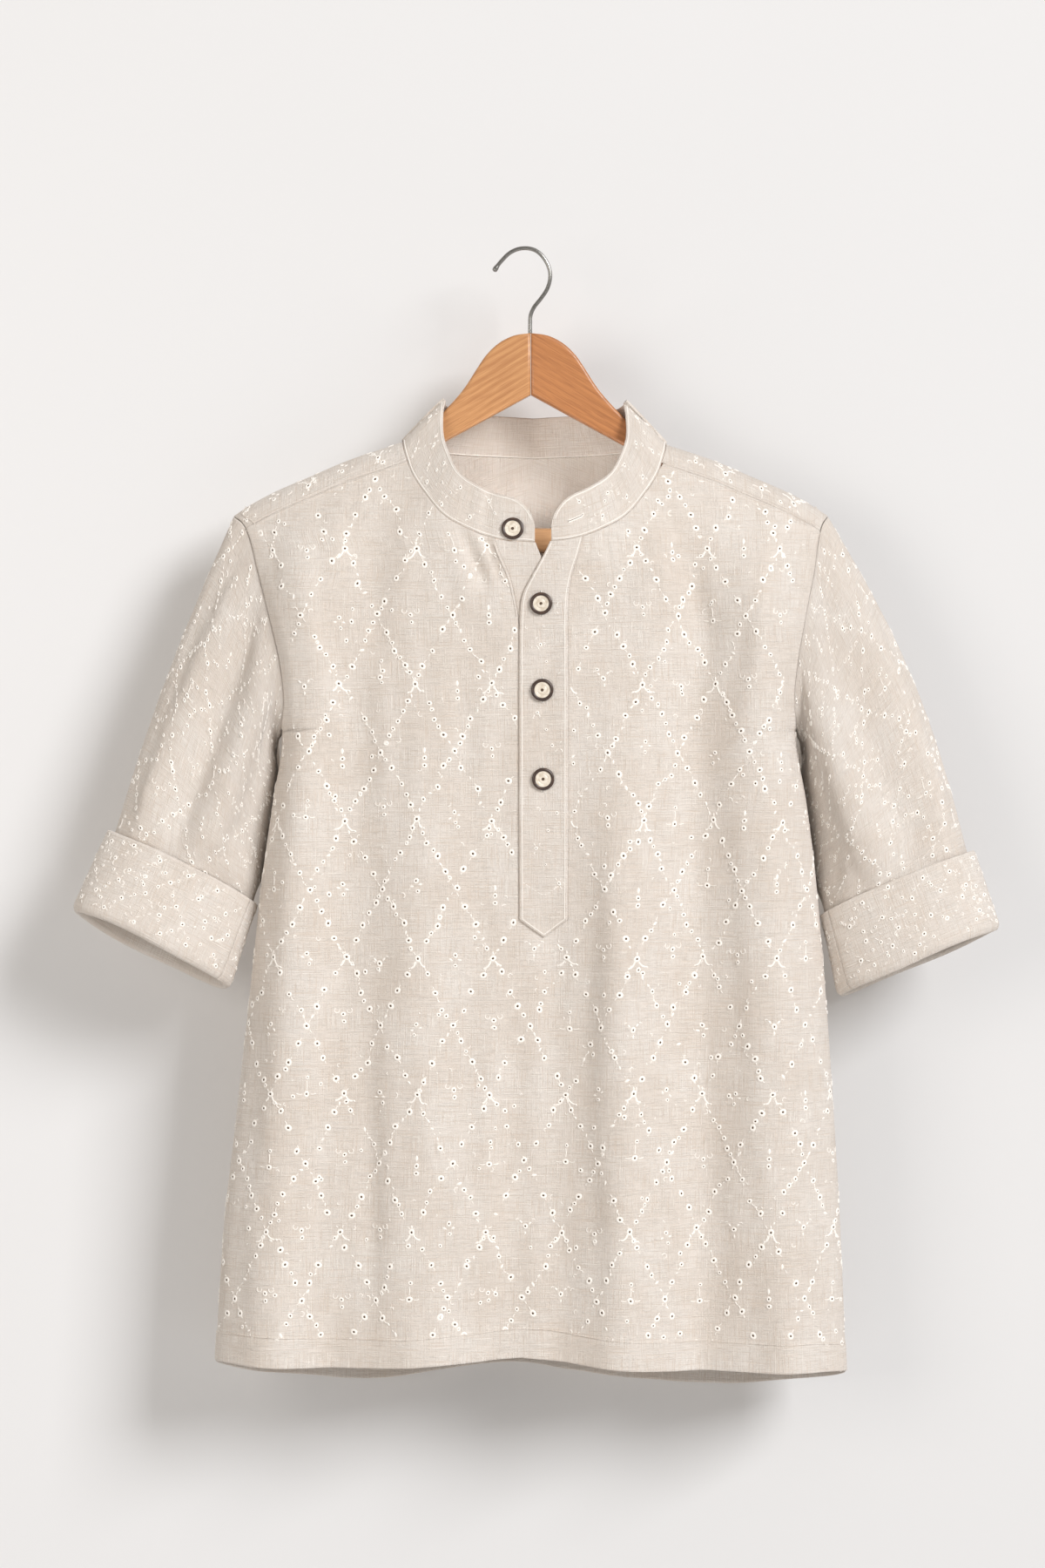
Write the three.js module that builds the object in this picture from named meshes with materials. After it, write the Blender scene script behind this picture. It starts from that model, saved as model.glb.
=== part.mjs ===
// A short kurta hanging on a wooden hanger: band collar, buttoned placket with a pointed
// end, forward yoke, and sleeves turned up into wide cuffs. Millimetres, +Z up. The front
// faces -Y, and left and right are the wearer's, so the wearer's right is at -X.
// The origin is the point inside the hanger's hook that bears on whatever holds it. The
// tables give x from the garment's middle plane, which hangs HOOK_X to one side of it.
import * as THREE from "three";

// ---------------------------------------------------------------- driving dimensions

const CLOTH = 1.2; // thickness of the single cloth of front, back, yoke and sleeves
const BAND_CLOTH = 1.8; // thickness of the doubled cloth of collar and plackets
const SEAM_GAP = 0.3; // clearance between pieces that are sewn together

// Where the cloth of the body lies at each height: its two side edges, and how far the
// middle of the front, the side seams and the middle of the back are from the hanger's plane.
const BODY = [
  { z: -110, right: -262, left: 260, front: 60, side: 0, back: 50 },
  { z: -214, right: -240, left: 240, front: 62, side: 0, back: 50 },
  { z: -300, right: -218, left: 226, front: 62, side: -6, back: 49 },
  { z: -388, right: -199, left: 212, front: 61, side: -12, back: 47 },
  { z: -443, right: -206, left: 220, front: 60, side: -13, back: 46 },
  { z: -499, right: -214, left: 227, front: 59, side: -13, back: 45 },
  { z: -597, right: -224.5, left: 235.5, front: 58, side: -13, back: 44 },
  { z: -709, right: -237, left: 243, front: 57, side: -12, back: 44 },
  { z: -779, right: -245, left: 247, front: 56, side: -12, back: 44 },
  { z: -920, right: -254, left: 253, front: 55, side: -11, back: 44 },
];
const FRONT_ROUNDNESS = 2.8; // exponent of the oval that the front's plan follows
const BACK_ROUNDNESS = 2.4;
const RIDGE_ROUNDNESS = 8;

// The shoulder line, where the cloth folds over the hanger, by distance from the middle.
const SHOULDER = [
  { x: 0, z: -112 },
  { x: 60, z: -134 },
  { x: 105, z: -154.5 },
  { x: 147, z: -169 },
  { x: 175, z: -181 },
  { x: 203, z: -193 },
  { x: 224, z: -204 },
  { x: 240, z: -214.5 },
];
const RIDGE_RADIUS = 10; // radius of the fold of cloth over the hanger's arms
const FRONT_SWELL = 130; // drop below the shoulder at which the front is at full depth
const BACK_SWELL = 70;

// The armhole seam on the front.
const ARMHOLE = [
  { z: -214, right: -238.5, left: 238.5 },
  { z: -220, right: -231, left: 234 },
  { z: -233, right: -224.5, left: 230 },
  { z: -261, right: -217, left: 225.5 },
  { z: -286, right: -210, left: 220 },
  { z: -331, right: -199, left: 211.5 },
  { z: -365, right: -195.5, left: 208.5 },
  { z: -388, right: -199, left: 212 },
];
const UNDERARM_Z = -388;
const BACK_ARMHOLE_SHARE = 0.3; // how far the back armhole is moved out to the body's edge

const FRONT_HEM = [
  { x: -254, z: -890 },
  { x: -235, z: -888 },
  { x: -165, z: -890.5 },
  { x: -110, z: -890.5 },
  { x: -48, z: -886.5 },
  { x: 0, z: -883 },
  { x: 50, z: -888.5 },
  { x: 105, z: -893 },
  { x: 168, z: -894 },
  { x: 225, z: -895 },
  { x: 254, z: -898 },
];
const BACK_HEM = [
  { x: -254, z: -890 },
  { x: -200, z: -906 },
  { x: -125, z: -912 },
  { x: -60, z: -906 },
  { x: -5, z: -900 },
  { x: 35, z: -906 },
  { x: 78, z: -914 },
  { x: 133, z: -916 },
  { x: 182, z: -913 },
  { x: 225, z: -907 },
  { x: 254, z: -898 },
];

// Soft folds that hang down the cloth. Each runs from x at its top to endX at the hem, is
// nothing at z and full at fullZ, and stands height out of the cloth or, below 0, into it.
const FRONT_FOLDS = [
  { z: -235, x: -172, fullZ: -330, endX: -206, height: 6, width: 24 },
  { z: -240, x: -118, fullZ: -520, endX: -128, height: -5, width: 26 },
  { z: -300, x: -66, fullZ: -560, endX: -84, height: 6, width: 26 },
  { z: -520, x: 14, fullZ: -800, endX: 8, height: -6, width: 26 },
  { z: -330, x: 76, fullZ: -640, endX: 82, height: 8, width: 27 },
  { z: -205, x: 122, fullZ: -420, endX: 140, height: -7, width: 22 },
  { z: -225, x: 186, fullZ: -300, endX: 208, height: 7, width: 22 },
];
const BACK_FOLDS = [
  { z: -300, x: -170, fullZ: -520, endX: -190, height: 6, width: 26 },
  { z: -270, x: -100, fullZ: -560, endX: -118, height: -6, width: 28 },
  { z: -260, x: -34, fullZ: -520, endX: -50, height: 6, width: 26 },
  { z: -260, x: 36, fullZ: -560, endX: 24, height: -6, width: 26 },
  { z: -270, x: 92, fullZ: -540, endX: 96, height: 6, width: 28 },
  { z: -300, x: 150, fullZ: -600, endX: 166, height: -5, width: 24 },
];

// The neck seam by angle round the neck, from the middle of the front to that of the back.
const NECK_X = 3;
const NECK_HALF_WIDTH = 106;
const NECK = [
  { angle: 0, z: -238.5 },
  { angle: 17, z: -235.5 },
  { angle: 34, z: -224.5 },
  { angle: 44, z: -215 },
  { angle: 55, z: -199 },
  { angle: 68, z: -181 },
  { angle: 77, z: -167 },
  { angle: 90, z: -154.5 },
  { angle: 110, z: -156.5 },
  { angle: 140, z: -161 },
  { angle: 180, z: -163.5 },
];
const YOKE_FRONT_DROP = 18; // the yoke's front seam below the shoulder line
const YOKE_BACK_Z = -252;

// The collar band: how far its top edge leans in over the neck, and how far it rises.
const COLLAR = [
  { angle: 0, lean: 5, rise: 35 },
  { angle: 30, lean: 12, rise: 36 },
  { angle: 60, lean: 23, rise: 36 },
  { angle: 90, lean: 34, rise: 34 },
  { angle: 135, lean: 20, rise: 32 },
  { angle: 180, lean: 8, rise: 32 },
];
const COLLAR_RIGHT_END_X = 3;
const COLLAR_LEFT_END_X = 16;
const COLLAR_CORNER = 25; // radius of the band's round front corners

// The placket: side edges of the band that lies on top and of the one under it.
const PLACKET = [
  { z: -237, overRight: 15.5, overLeft: 40, underRight: -29, underLeft: 3 },
  { z: -251, overRight: 8.6, overLeft: 36, underRight: -23.6, underLeft: 8.6 },
  { z: -266, overRight: 0.3, overLeft: 31.5, underRight: -17, underLeft: 15 },
  { z: -280, overRight: -6.7, overLeft: 29.4, underRight: -13.4, underLeft: 20 },
  { z: -296, overRight: -8.8, overLeft: 28.8, underRight: -10.4, underLeft: 23.6 },
  { z: -320, overRight: -9.3, overLeft: 29, underRight: -8, underLeft: 25.6 },
  { z: -536, overRight: -9.3, overLeft: 29, underRight: -8, underLeft: 25.6 },
];
const PLACKET_SHOULDER_Z = -536; // where the point at the placket's end begins
const PLACKET_POINT_Z = -550;
const SLOT_END_Z = -531; // foot of the opening in the front, under the placket
const SLOT_LAP = 3; // how far the bands cover the front beside the opening

const BUTTON_RADIUS = 8.3;
const BUTTON_THICKNESS = 2.6;
const BUTTON_FACE_RADIUS = 5.3; // of the pale inlay inside the rim
const BUTTON_FACE_DROP = 0.7; // of the inlay below the rim
const BUTTONS = [
  { name: "button_1", angle: -9.6, share: 0.26 },
  { name: "button_2", x: 8, z: -287 },
  { name: "button_3", x: 8.6, z: -355 },
  { name: "button_4", x: 9.2, z: -425 },
];

// Sleeves. The mouth is the middle of the cuff's top edge; from there the cuff runs on for
// its length along down. Folds lie along the sleeve at an angle from its outer edge.
const SLEEVES = [
  {
    name: "right",
    side: -1,
    mouth: { x: -277.5, y: -13, z: -496 },
    across: { x: -0.893, y: 0, z: 0.45 },
    down: { x: -0.4, y: -0.15, z: -0.904 },
    cuffLength: 71,
    bulge: 5,
    folds: [
      { angle: 52, height: 6, width: 17 },
      { angle: 80, height: -5, width: 13 },
      { angle: 104, height: 6, width: 15 },
      { angle: 134, height: -8, width: 15 },
    ],
  },
  {
    name: "left",
    side: 1,
    mouth: { x: 292, y: -13, z: -508 },
    across: { x: 0.92, y: 0, z: 0.391 },
    down: { x: 0.31, y: -0.12, z: -0.943 },
    cuffLength: 66.5,
    bulge: 13,
    folds: [
      { angle: 44, height: 6, width: 16 },
      { angle: 74, height: -6, width: 14 },
      { angle: 104, height: 7, width: 15 },
      { angle: 136, height: -9, width: 15 },
    ],
  },
];
const SLEEVE_HALF_WIDTH = 62; // of the sleeve inside its cuff
const SLEEVE_HALF_DEPTH = 30;
const SLEEVE_TUCK = 4; // how far the sleeve's inner side hangs in behind the body's edge
const SLEEVE_CLEAR = 3; // how far the sleeve passes outside the body's edge
const SLEEVE_IN_CUFF = 20; // the sleeve's length inside the cuff
const SLEEVE_SEAM_GAP = 1.3; // at the armhole, where the cloth turns

// The turned-up cuff in section, from its top edge down to its fold and up inside: how far
// along its length, and how far out from the sleeve's cloth.
const CUFF_CLOTH = 2;
const CUFF_INNER_FLARE = 5; // how much wider the cuff's inner side is at its fold
const CUFF = [
  { along: 0, out: 4.5 },
  { along: 0.3, out: 4.9 },
  { along: 0.6, out: 5.5 },
  { along: 0.85, out: 6.2 },
  { along: 0.95, out: 5.6 },
  { along: 1, out: 2.2 },
  { along: 0.95, out: -1.3 },
  { along: 0.8, out: -1.5 },
  { along: 0.55, out: -1.5 },
  { along: 0.31, out: -1.5 },
];

// Hanger.
const WOOD_THICKNESS = 12;
const WOOD_BEVEL = 2.2;
const WOOD_UNDER_CLOTH = 4.9; // the arms' top below the cloth's shoulder line
const WOOD_TOP = [
  // the arched middle above the collar
  { x: 0.15, z: -67 },
  { x: 15.8, z: -69.3 },
  { x: 26.4, z: -75.5 },
  { x: 35.8, z: -84.5 },
  { x: 42.4, z: -94 },
  { x: 54.5, z: -112.5 },
  { x: 69.5, z: -129.5 },
  { x: 86, z: -145.5 },
  { x: 100, z: -158 },
];
const WOOD_FOOT = [
  // the arm's end and underside, from the shoulder back to the foot of the mitre
  { x: 213, z: -205 },
  { x: 213, z: -240 },
  { x: 208, z: -246 },
  { x: 197, z: -246 },
  { x: 192, z: -240 },
  { x: 192, z: -219 },
  { x: 186, z: -214.5 },
  { x: 150, z: -197.5 },
  { x: 100, z: -171 },
  { x: 50, z: -143.7 },
  { x: 0.15, z: -116.5 },
];
const BAR_HALF_LENGTH = 191.5;
const BAR_Z = -233.5;
const BAR_HEIGHT = 20;
const BAR_DEPTH = 11;
const BAR_CORNER = 4;
const WIRE_RADIUS = 1.65;
const WIRE_SIDES = 10;
const HOOK_X = -4.5; // where the top of the hook is, from the garment's middle
const HOOK = [
  // the wire's middle line, from the tip
  { x: -29.8, z: -17.2, radius: 2.3 },
  { x: -28.2, z: -14.6, radius: 2.2 },
  { x: -26.4, z: -12, radius: WIRE_RADIUS },
  { x: -23.4, z: -8.4, radius: WIRE_RADIUS },
  { x: -17.8, z: -2.8, radius: WIRE_RADIUS },
  { x: -11.5, z: 0.55, radius: WIRE_RADIUS },
  { x: HOOK_X, z: WIRE_RADIUS, radius: WIRE_RADIUS },
  { x: 2.5, z: 0.4, radius: WIRE_RADIUS },
  { x: 7.6, z: -3, radius: WIRE_RADIUS },
  { x: 12.4, z: -9.2, radius: WIRE_RADIUS },
  { x: 15.2, z: -16.4, radius: WIRE_RADIUS },
  { x: 15.3, z: -24, radius: WIRE_RADIUS },
  { x: 12.8, z: -31.8, radius: WIRE_RADIUS },
  { x: 7.8, z: -39.2, radius: WIRE_RADIUS },
  { x: 2.6, z: -45.8, radius: WIRE_RADIUS },
  { x: -0.2, z: -52.4, radius: WIRE_RADIUS },
  { x: -0.6, z: -59, radius: WIRE_RADIUS },
  { x: -0.6, z: -66.7, radius: WIRE_RADIUS },
];

// ---------------------------------------------------------------- small helpers

const vector = ({ x, y, z }) => new THREE.Vector3(x, y, z);
const clamp = THREE.MathUtils.clamp;
const mix = THREE.MathUtils.lerp;
const smooth = (t) => THREE.MathUtils.smoothstep(t, 0, 1);
const sine = (degrees) => Math.sin(THREE.MathUtils.degToRad(degrees));
const cosine = (degrees) => Math.cos(THREE.MathUtils.degToRad(degrees));
const sideName = (side) => (side < 0 ? "right" : "left");

// The value of a table's column at a place along another column, on a smooth curve
// through the rows. Outside the table it keeps the end row's value.
function read(table, by, at, column) {
  const rows = table[0][by] < table[1][by] ? table : [...table].reverse();
  if (at <= rows[0][by]) return rows[0][column];
  if (at >= rows[rows.length - 1][by]) return rows[rows.length - 1][column];
  const i = rows.findIndex((row) => row[by] > at) - 1;
  const slope = (a, b) => (rows[b][column] - rows[a][column]) / (rows[b][by] - rows[a][by]);
  const tangent = (k) => slope(Math.max(k - 1, 0), Math.min(k + 1, rows.length - 1));
  const step = rows[i + 1][by] - rows[i][by];
  const t = (at - rows[i][by]) / step;
  const startShare = 2 * t ** 3 - 3 * t ** 2 + 1;
  return (
    startShare * rows[i][column] +
    (1 - startShare) * rows[i + 1][column] +
    (t ** 3 - 2 * t ** 2 + t) * tangent(i) * step +
    (t ** 3 - t ** 2) * tangent(i + 1) * step
  );
}

// Equal steps through the marks, with counts[i] steps between one mark and the next.
function steps(marks, counts) {
  const all = [marks[0]];
  counts.forEach((count, i) => {
    for (let k = 1; k <= count; k++) all.push(mix(marks[i], marks[i + 1], k / count));
  });
  return all;
}

// The two triangles of a grid's cell, its diagonal turned in every other cell.
function cell(r, c, next, columns) {
  const [a, b] = [r * columns + c, r * columns + next];
  const [d, e] = [b + columns, a + columns];
  return (r + c) % 2 ? [[a, d, b], [a, e, d]] : [[a, e, b], [b, e, d]];
}

// A wall of cloth under a grid of outer points. Outward is the direction down the rows
// crossed with the direction along the columns. A closed grid's last column meets its
// first, isOpen(row, column) leaves a cell out, and normalAt may give outward directions.
function wall(points, thickness, { closed = false, isOpen = () => false, normalAt } = {}) {
  const rows = points.length;
  const columns = points[0].length;
  const at = (r, c) => {
    const row = points[clamp(r, 0, rows - 1)];
    return row[closed ? (c + columns) % columns : clamp(c, 0, columns - 1)];
  };
  const outer = [];
  const inner = [];
  for (let r = 0; r < rows; r++) {
    for (let c = 0; c < columns; c++) {
      const down = at(r + 1, c).clone().sub(at(r - 1, c));
      const along = at(r, c + 1).clone().sub(at(r, c - 1));
      const normal = normalAt ? normalAt(at(r, c), r, c) : down.cross(along).normalize();
      outer.push(at(r, c));
      inner.push(at(r, c).clone().addScaledVector(normal, -thickness));
    }
  }
  const faces = [];
  for (let r = 0; r < rows - 1; r++) {
    for (let c = 0; c < (closed ? columns : columns - 1); c++) {
      if (!isOpen(r, c)) faces.push(...cell(r, c, (c + 1) % columns, columns));
    }
  }
  return solidSheet(outer, inner, faces);
}

// Closes a sheet of faces into a solid with its inner points and a rim.
function solidSheet(outer, inner, faces) {
  const count = outer.length;
  const sides = ([a, b, c]) => [[a, b], [b, c], [c, a]];
  const edges = new Set(faces.flatMap(sides).map(String));
  const all = [...faces];
  for (const face of faces) {
    all.push(face.map((vertex) => vertex + count).reverse());
    for (const [p, q] of sides(face)) {
      if (edges.has(String([q, p]))) continue;
      all.push([q, p, p + count], [q, p + count, q + count]);
    }
  }
  return geometryOf([...outer, ...inner], all);
}

// A geometry of the faces' own points.
function geometryOf(points, faces) {
  const used = [...new Set(faces.flat())];
  const place = new Map(used.map((vertex, i) => [vertex, i]));
  const positions = used.flatMap((vertex) => points[vertex].toArray());
  return new THREE.BufferGeometry()
    .setAttribute("position", new THREE.Float32BufferAttribute(positions, 3))
    .setIndex(faces.flat().map((vertex) => place.get(vertex)));
}

// ---------------------------------------------------------------- the body's surface

const shoulderZ = (x) => read(SHOULDER, "x", Math.abs(x), "z");
const oval = (share, power) => Math.max(0, 1 - Math.abs(share) ** power) ** (1 / power);
const overRidge = (drop) => {
  const fall = clamp(drop, 0, RIDGE_RADIUS);
  return Math.sqrt(RIDGE_RADIUS ** 2 - (RIDGE_RADIUS - fall) ** 2);
};

function foldHeight(folds, x, z) {
  const heights = folds.map((fold) => {
    const grown = smooth((fold.z - z) / (fold.z - fold.fullZ));
    const middle = mix(fold.x, fold.endX, clamp((fold.z - z) / (fold.z + 900), 0, 1));
    return fold.height * grown * Math.exp(-(((x - middle) / fold.width) ** 2));
  });
  return heights.reduce((sum, height) => sum + height, 0);
}

// How far the cloth lies from the side seams' plane at (x, z).
function depthAt(x, z, { column, power, swell, folds }) {
  const right = read(BODY, "z", z, "right");
  const left = read(BODY, "z", z, "left");
  const share = (2 * x - left - right) / (left - right);
  const drop = Math.max(0, shoulderZ(x) - z);
  const side = read(BODY, "z", z, "side");
  const full = read(BODY, "z", z, column) + (column === "front" ? side : -side);
  const grown = sine(90 * clamp(drop / swell, 0, 1));
  const cover = oval(share, power);
  return (
    overRidge(drop) * oval(share, RIDGE_ROUNDNESS) +
    (full - RIDGE_RADIUS) * grown * cover +
    foldHeight(folds, x, z) * Math.min(1, 1.6 * cover)
  );
}

const FRONT = {
  facing: -1,
  column: "front",
  power: FRONT_ROUNDNESS,
  swell: FRONT_SWELL,
  folds: FRONT_FOLDS,
};
const BACK = {
  facing: 1,
  column: "back",
  power: BACK_ROUNDNESS,
  swell: BACK_SWELL,
  folds: BACK_FOLDS,
};

function bodyPoint(face, x, z) {
  const depth = SEAM_GAP / 2 + depthAt(x, z, face);
  return new THREE.Vector3(x, read(BODY, "z", z, "side") + face.facing * depth, z);
}

// The outward direction of the front's or back's cloth at a point.
function bodyNormal(face, { x, z }) {
  const across = bodyPoint(face, x + 1, z).sub(bodyPoint(face, x - 1, z));
  const up = bodyPoint(face, x, z + 1).sub(bodyPoint(face, x, z - 1));
  return across.cross(up).normalize().multiplyScalar(-face.facing);
}

// The x of a body panel's edge: the side seam, and above the underarm the armhole.
function panelEdge(side, z, isBack) {
  const edge = read(BODY, "z", z, sideName(side));
  if (z <= UNDERARM_Z) return edge;
  const armhole = read(ARMHOLE, "z", z, sideName(side));
  return isBack ? mix(armhole, edge, BACK_ARMHOLE_SHARE) : armhole;
}

// A point of the cloth over the shoulders. Its reach is the square root of its drop below
// the shoulder line, and is above 0 on the front and below 0 on the back.
function shoulderPoint(x, reach) {
  const point = bodyPoint(reach > 0 ? FRONT : BACK, x, shoulderZ(x) - reach * reach);
  point.y += ((reach > 0 ? 1 : -1) * SEAM_GAP) / 2;
  return point;
}

function shoulderNormal(x, reach) {
  const across = shoulderPoint(x + 0.5, reach).sub(shoulderPoint(x - 0.5, reach));
  const back = shoulderPoint(x, reach - 0.1).sub(shoulderPoint(x, reach + 0.1));
  return across.cross(back).normalize();
}

// Where the armhole lies at a reach over the shoulder.
function armholeX(side, reach) {
  let x = side * 230;
  for (let i = 0; i < 24; i++) {
    x = mix(x, panelEdge(side, shoulderZ(x) - reach * reach, reach < 0), 0.5);
  }
  return x;
}

// The neck seam at an angle from the middle of the front, above 0 to the left.
function neckAt(angle) {
  const x = NECK_X + NECK_HALF_WIDTH * sine(angle);
  const z = Math.min(read(NECK, "angle", Math.abs(angle), "z"), shoulderZ(x));
  const reach = Math.sqrt(shoulderZ(x) - z) * (Math.abs(angle) < 90 ? 1 : -1);
  return { x, z, reach };
}

// The angle at which the yoke's front seam meets the neck seam.
function yokeNeckAngle(side) {
  let [low, high] = [60, 90];
  for (let i = 0; i < 30; i++) {
    const middle = (low + high) / 2;
    if (neckAt(side * middle).reach ** 2 > YOKE_FRONT_DROP) low = middle;
    else high = middle;
  }
  return side * low;
}

const YOKE_ANGLES = { right: yokeNeckAngle(-1), left: yokeNeckAngle(1) };
const endAngle = (x) => THREE.MathUtils.radToDeg(Math.asin((x - NECK_X) / NECK_HALF_WIDTH));

// Angles at which the collar, the yoke and the front all have a column, so that their
// edges match: from the opening in the front to the yoke, and on round the back.
const SHOULDER_COLUMNS = 6;
const NECK_COLUMNS = 8;
const NECK_BACK_COLUMNS = 20;
const neckAngles = (side) => {
  const opening = endAngle(slotEdge(side, NECK[0].z));
  return steps([YOKE_ANGLES[sideName(side)], opening], [NECK_COLUMNS]);
};
const backNeckAngles = () =>
  steps([YOKE_ANGLES.left, YOKE_ANGLES.right + 360], [NECK_BACK_COLUMNS]);

// ---------------------------------------------------------------- front and back

const placketAt = (column, z) => read(PLACKET, "z", z, column);
const slotEdge = (side, z) =>
  side < 0 ? placketAt("underRight", z) : placketAt("overLeft", z) - SLOT_LAP;

// The front's top edge at x: the yoke's seam, and between the yoke's ends the neck seam.
function frontTopZ(x) {
  const side = x < NECK_X ? -1 : 1;
  const yokeEnd = neckAt(YOKE_ANGLES[sideName(side)]);
  if (side * (x - yokeEnd.x) >= 0) return shoulderZ(x) - YOKE_FRONT_DROP - SEAM_GAP;
  const angle = THREE.MathUtils.radToDeg(Math.asin(Math.abs(x - NECK_X) / NECK_HALF_WIDTH));
  return read(NECK, "angle", angle, "z") - SEAM_GAP;
}

// The x of a point of a half panel. Its share runs from 0 at the panel's edge to 1 at the
// middle, as given along the panel's top and closer at the side seam lower down.
const CROWDING = 1.5;
function halfPanelX(edge, middle, topShare, lowShare, level) {
  return mix(edge, middle, mix(topShare, lowShare ** CROWDING, smooth(level)));
}

const HALF_COLUMNS = SHOULDER_COLUMNS + NECK_COLUMNS;
const ARMHOLE_ROWS = 7;
const SLOT_ROWS = 4;
const LOWER_ROWS = 9;
const SLOT_COLUMNS = 2;

// The columns of half the front, from its side to the opening in the middle.
function halfFrontColumns(side) {
  const corner = armholeX(side, Math.sqrt(YOKE_FRONT_DROP + SEAM_GAP));
  const neck = neckAngles(side).map((angle) => neckAt(angle).x);
  const shoulder = steps([corner, neck[0]], [SHOULDER_COLUMNS]).slice(0, -1);
  return [...shoulder, ...neck].map((topX, k) => ({
    side,
    topX,
    topShare: (topX - corner) / (neck[NECK_COLUMNS] - corner),
    lowShare: k / HALF_COLUMNS,
  }));
}

function frontGeometry() {
  const slot = steps([0, 1], [SLOT_COLUMNS]).slice(1, -1);
  const columns = [
    ...halfFrontColumns(-1),
    ...slot.map((share) => ({ side: 0, share, topX: 0 })),
    ...halfFrontColumns(1).reverse(),
  ];
  const xAt = ({ side, share, topShare, lowShare }, z, level) => {
    if (side === 0) return mix(slotEdge(-1, z), slotEdge(1, z), share);
    return halfPanelX(panelEdge(side, z, false), slotEdge(side, z), topShare, lowShare, level);
  };
  const levels = steps([0, 1, 2, 3], [ARMHOLE_ROWS, SLOT_ROWS, LOWER_ROWS]);
  const points = levels.map((level) =>
    columns.map((column) => {
      if (level === 0) return bodyPoint(FRONT, column.topX, frontTopZ(column.topX));
      if (level <= 1) {
        const z = mix(frontTopZ(column.topX), UNDERARM_Z, level);
        return bodyPoint(FRONT, xAt(column, z, level), z);
      }
      if (level <= 2) {
        const z = mix(UNDERARM_Z, SLOT_END_Z, level - 1);
        return bodyPoint(FRONT, xAt(column, z, 1), z);
      }
      const hemZ = read(FRONT_HEM, "x", xAt(column, SLOT_END_Z, 1) * 1.1, "z");
      const z = mix(SLOT_END_Z, hemZ, level - 2);
      return bodyPoint(FRONT, xAt(column, z, 1), z);
    }),
  );
  const isOpen = (r, c) =>
    r < ARMHOLE_ROWS + SLOT_ROWS && c >= HALF_COLUMNS && c < HALF_COLUMNS + SLOT_COLUMNS;
  return wall(points, CLOTH, { isOpen, normalAt: panelNormal(FRONT, columns.length) });
}

// Outward directions for a panel's grid, straight sideways along the side seams.
function panelNormal(face, columnCount) {
  return (point, r, c) => {
    const isSeam = point.z <= UNDERARM_Z + 0.01 && (c === 0 || c === columnCount - 1);
    if (isSeam) return new THREE.Vector3(Math.sign(point.x), 0, 0);
    return bodyNormal(face, point);
  };
}

const BACK_COLUMNS = 28;
const BACK_LOWER_ROWS = 12;

function backGeometry() {
  const columns = [];
  const half = BACK_COLUMNS / 2;
  for (let k = 0; k <= half; k++) columns.push({ side: 1, share: k / half });
  for (let k = half - 1; k >= 0; k--) columns.push({ side: -1, share: k / half });
  const topZ = YOKE_BACK_Z - SEAM_GAP;
  const levels = steps([0, 1, 2], [ARMHOLE_ROWS - 2, BACK_LOWER_ROWS]);
  const points = levels.map((level) =>
    columns.map(({ side, share }) => {
      const widest = halfPanelX(panelEdge(side, -900, true), 0, share, share, 1);
      const hemZ = read(BACK_HEM, "x", widest, "z");
      const z = level <= 1 ? mix(topZ, UNDERARM_Z, level) : mix(UNDERARM_Z, hemZ, level - 1);
      const middle = (panelEdge(-1, z, true) + panelEdge(1, z, true)) / 2;
      const x = halfPanelX(panelEdge(side, z, true), middle, share, share, Math.min(level, 1));
      return bodyPoint(BACK, x, z);
    }),
  );
  return wall(points, CLOTH, { normalAt: panelNormal(BACK, columns.length) });
}

// ---------------------------------------------------------------- yoke

const YOKE_ROWS = 10;
const YOKE_BACK_HALF = 150; // half of the back seam that is opposite the neck

// The yoke's two long edges, column by column from the right armhole to the left: on one
// the front seams and the neck seam between them, on the other the back seam.
function yokeColumns() {
  const columns = [];
  const frontReach = Math.sqrt(YOKE_FRONT_DROP);
  for (const side of [-1, 1]) {
    const yokeEnd = neckAt(YOKE_ANGLES[sideName(side)]);
    const shoulder = [];
    for (let k = 0; k < SHOULDER_COLUMNS; k++) {
      const share = k / SHOULDER_COLUMNS;
      shoulder.push({ side, share, x: yokeEnd.x, reach: frontReach, backX: side * YOKE_BACK_HALF });
    }
    if (side < 0) columns.push(...shoulder);
    else columns.push(...neckColumns(), ...shoulder.reverse());
  }
  return columns;
}

function neckColumns() {
  return backNeckAngles()
    .reverse()
    .map((angle, k) => {
      const { x, reach } = neckAt(angle > 180 ? angle - 360 : angle);
      const backX = mix(-YOKE_BACK_HALF, YOKE_BACK_HALF, k / NECK_BACK_COLUMNS);
      return { side: 0, share: 1, x, reach, backX };
    });
}

function yokeGeometry() {
  const grid = steps([1, 0], [YOKE_ROWS]).map((back) =>
    yokeColumns().map(({ side, share, x, reach, backX }) => {
      const innerX = mix(x, backX, back);
      const reachAt = (atX) => mix(reach, -Math.sqrt(shoulderZ(atX) - YOKE_BACK_Z), back);
      let atX = innerX;
      for (let i = 0; side !== 0 && i < 20; i++) {
        atX = mix(atX, mix(armholeX(side, reachAt(atX)), innerX, share), 0.5);
      }
      return { x: atX, reach: reachAt(atX) };
    }),
  );
  const points = grid.map((row) => row.map(({ x, reach }) => shoulderPoint(x, reach)));
  const normalAt = (point, r, c) => shoulderNormal(grid[r][c].x, grid[r][c].reach);
  return wall(points, CLOTH, { normalAt });
}

// ---------------------------------------------------------------- collar

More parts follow.
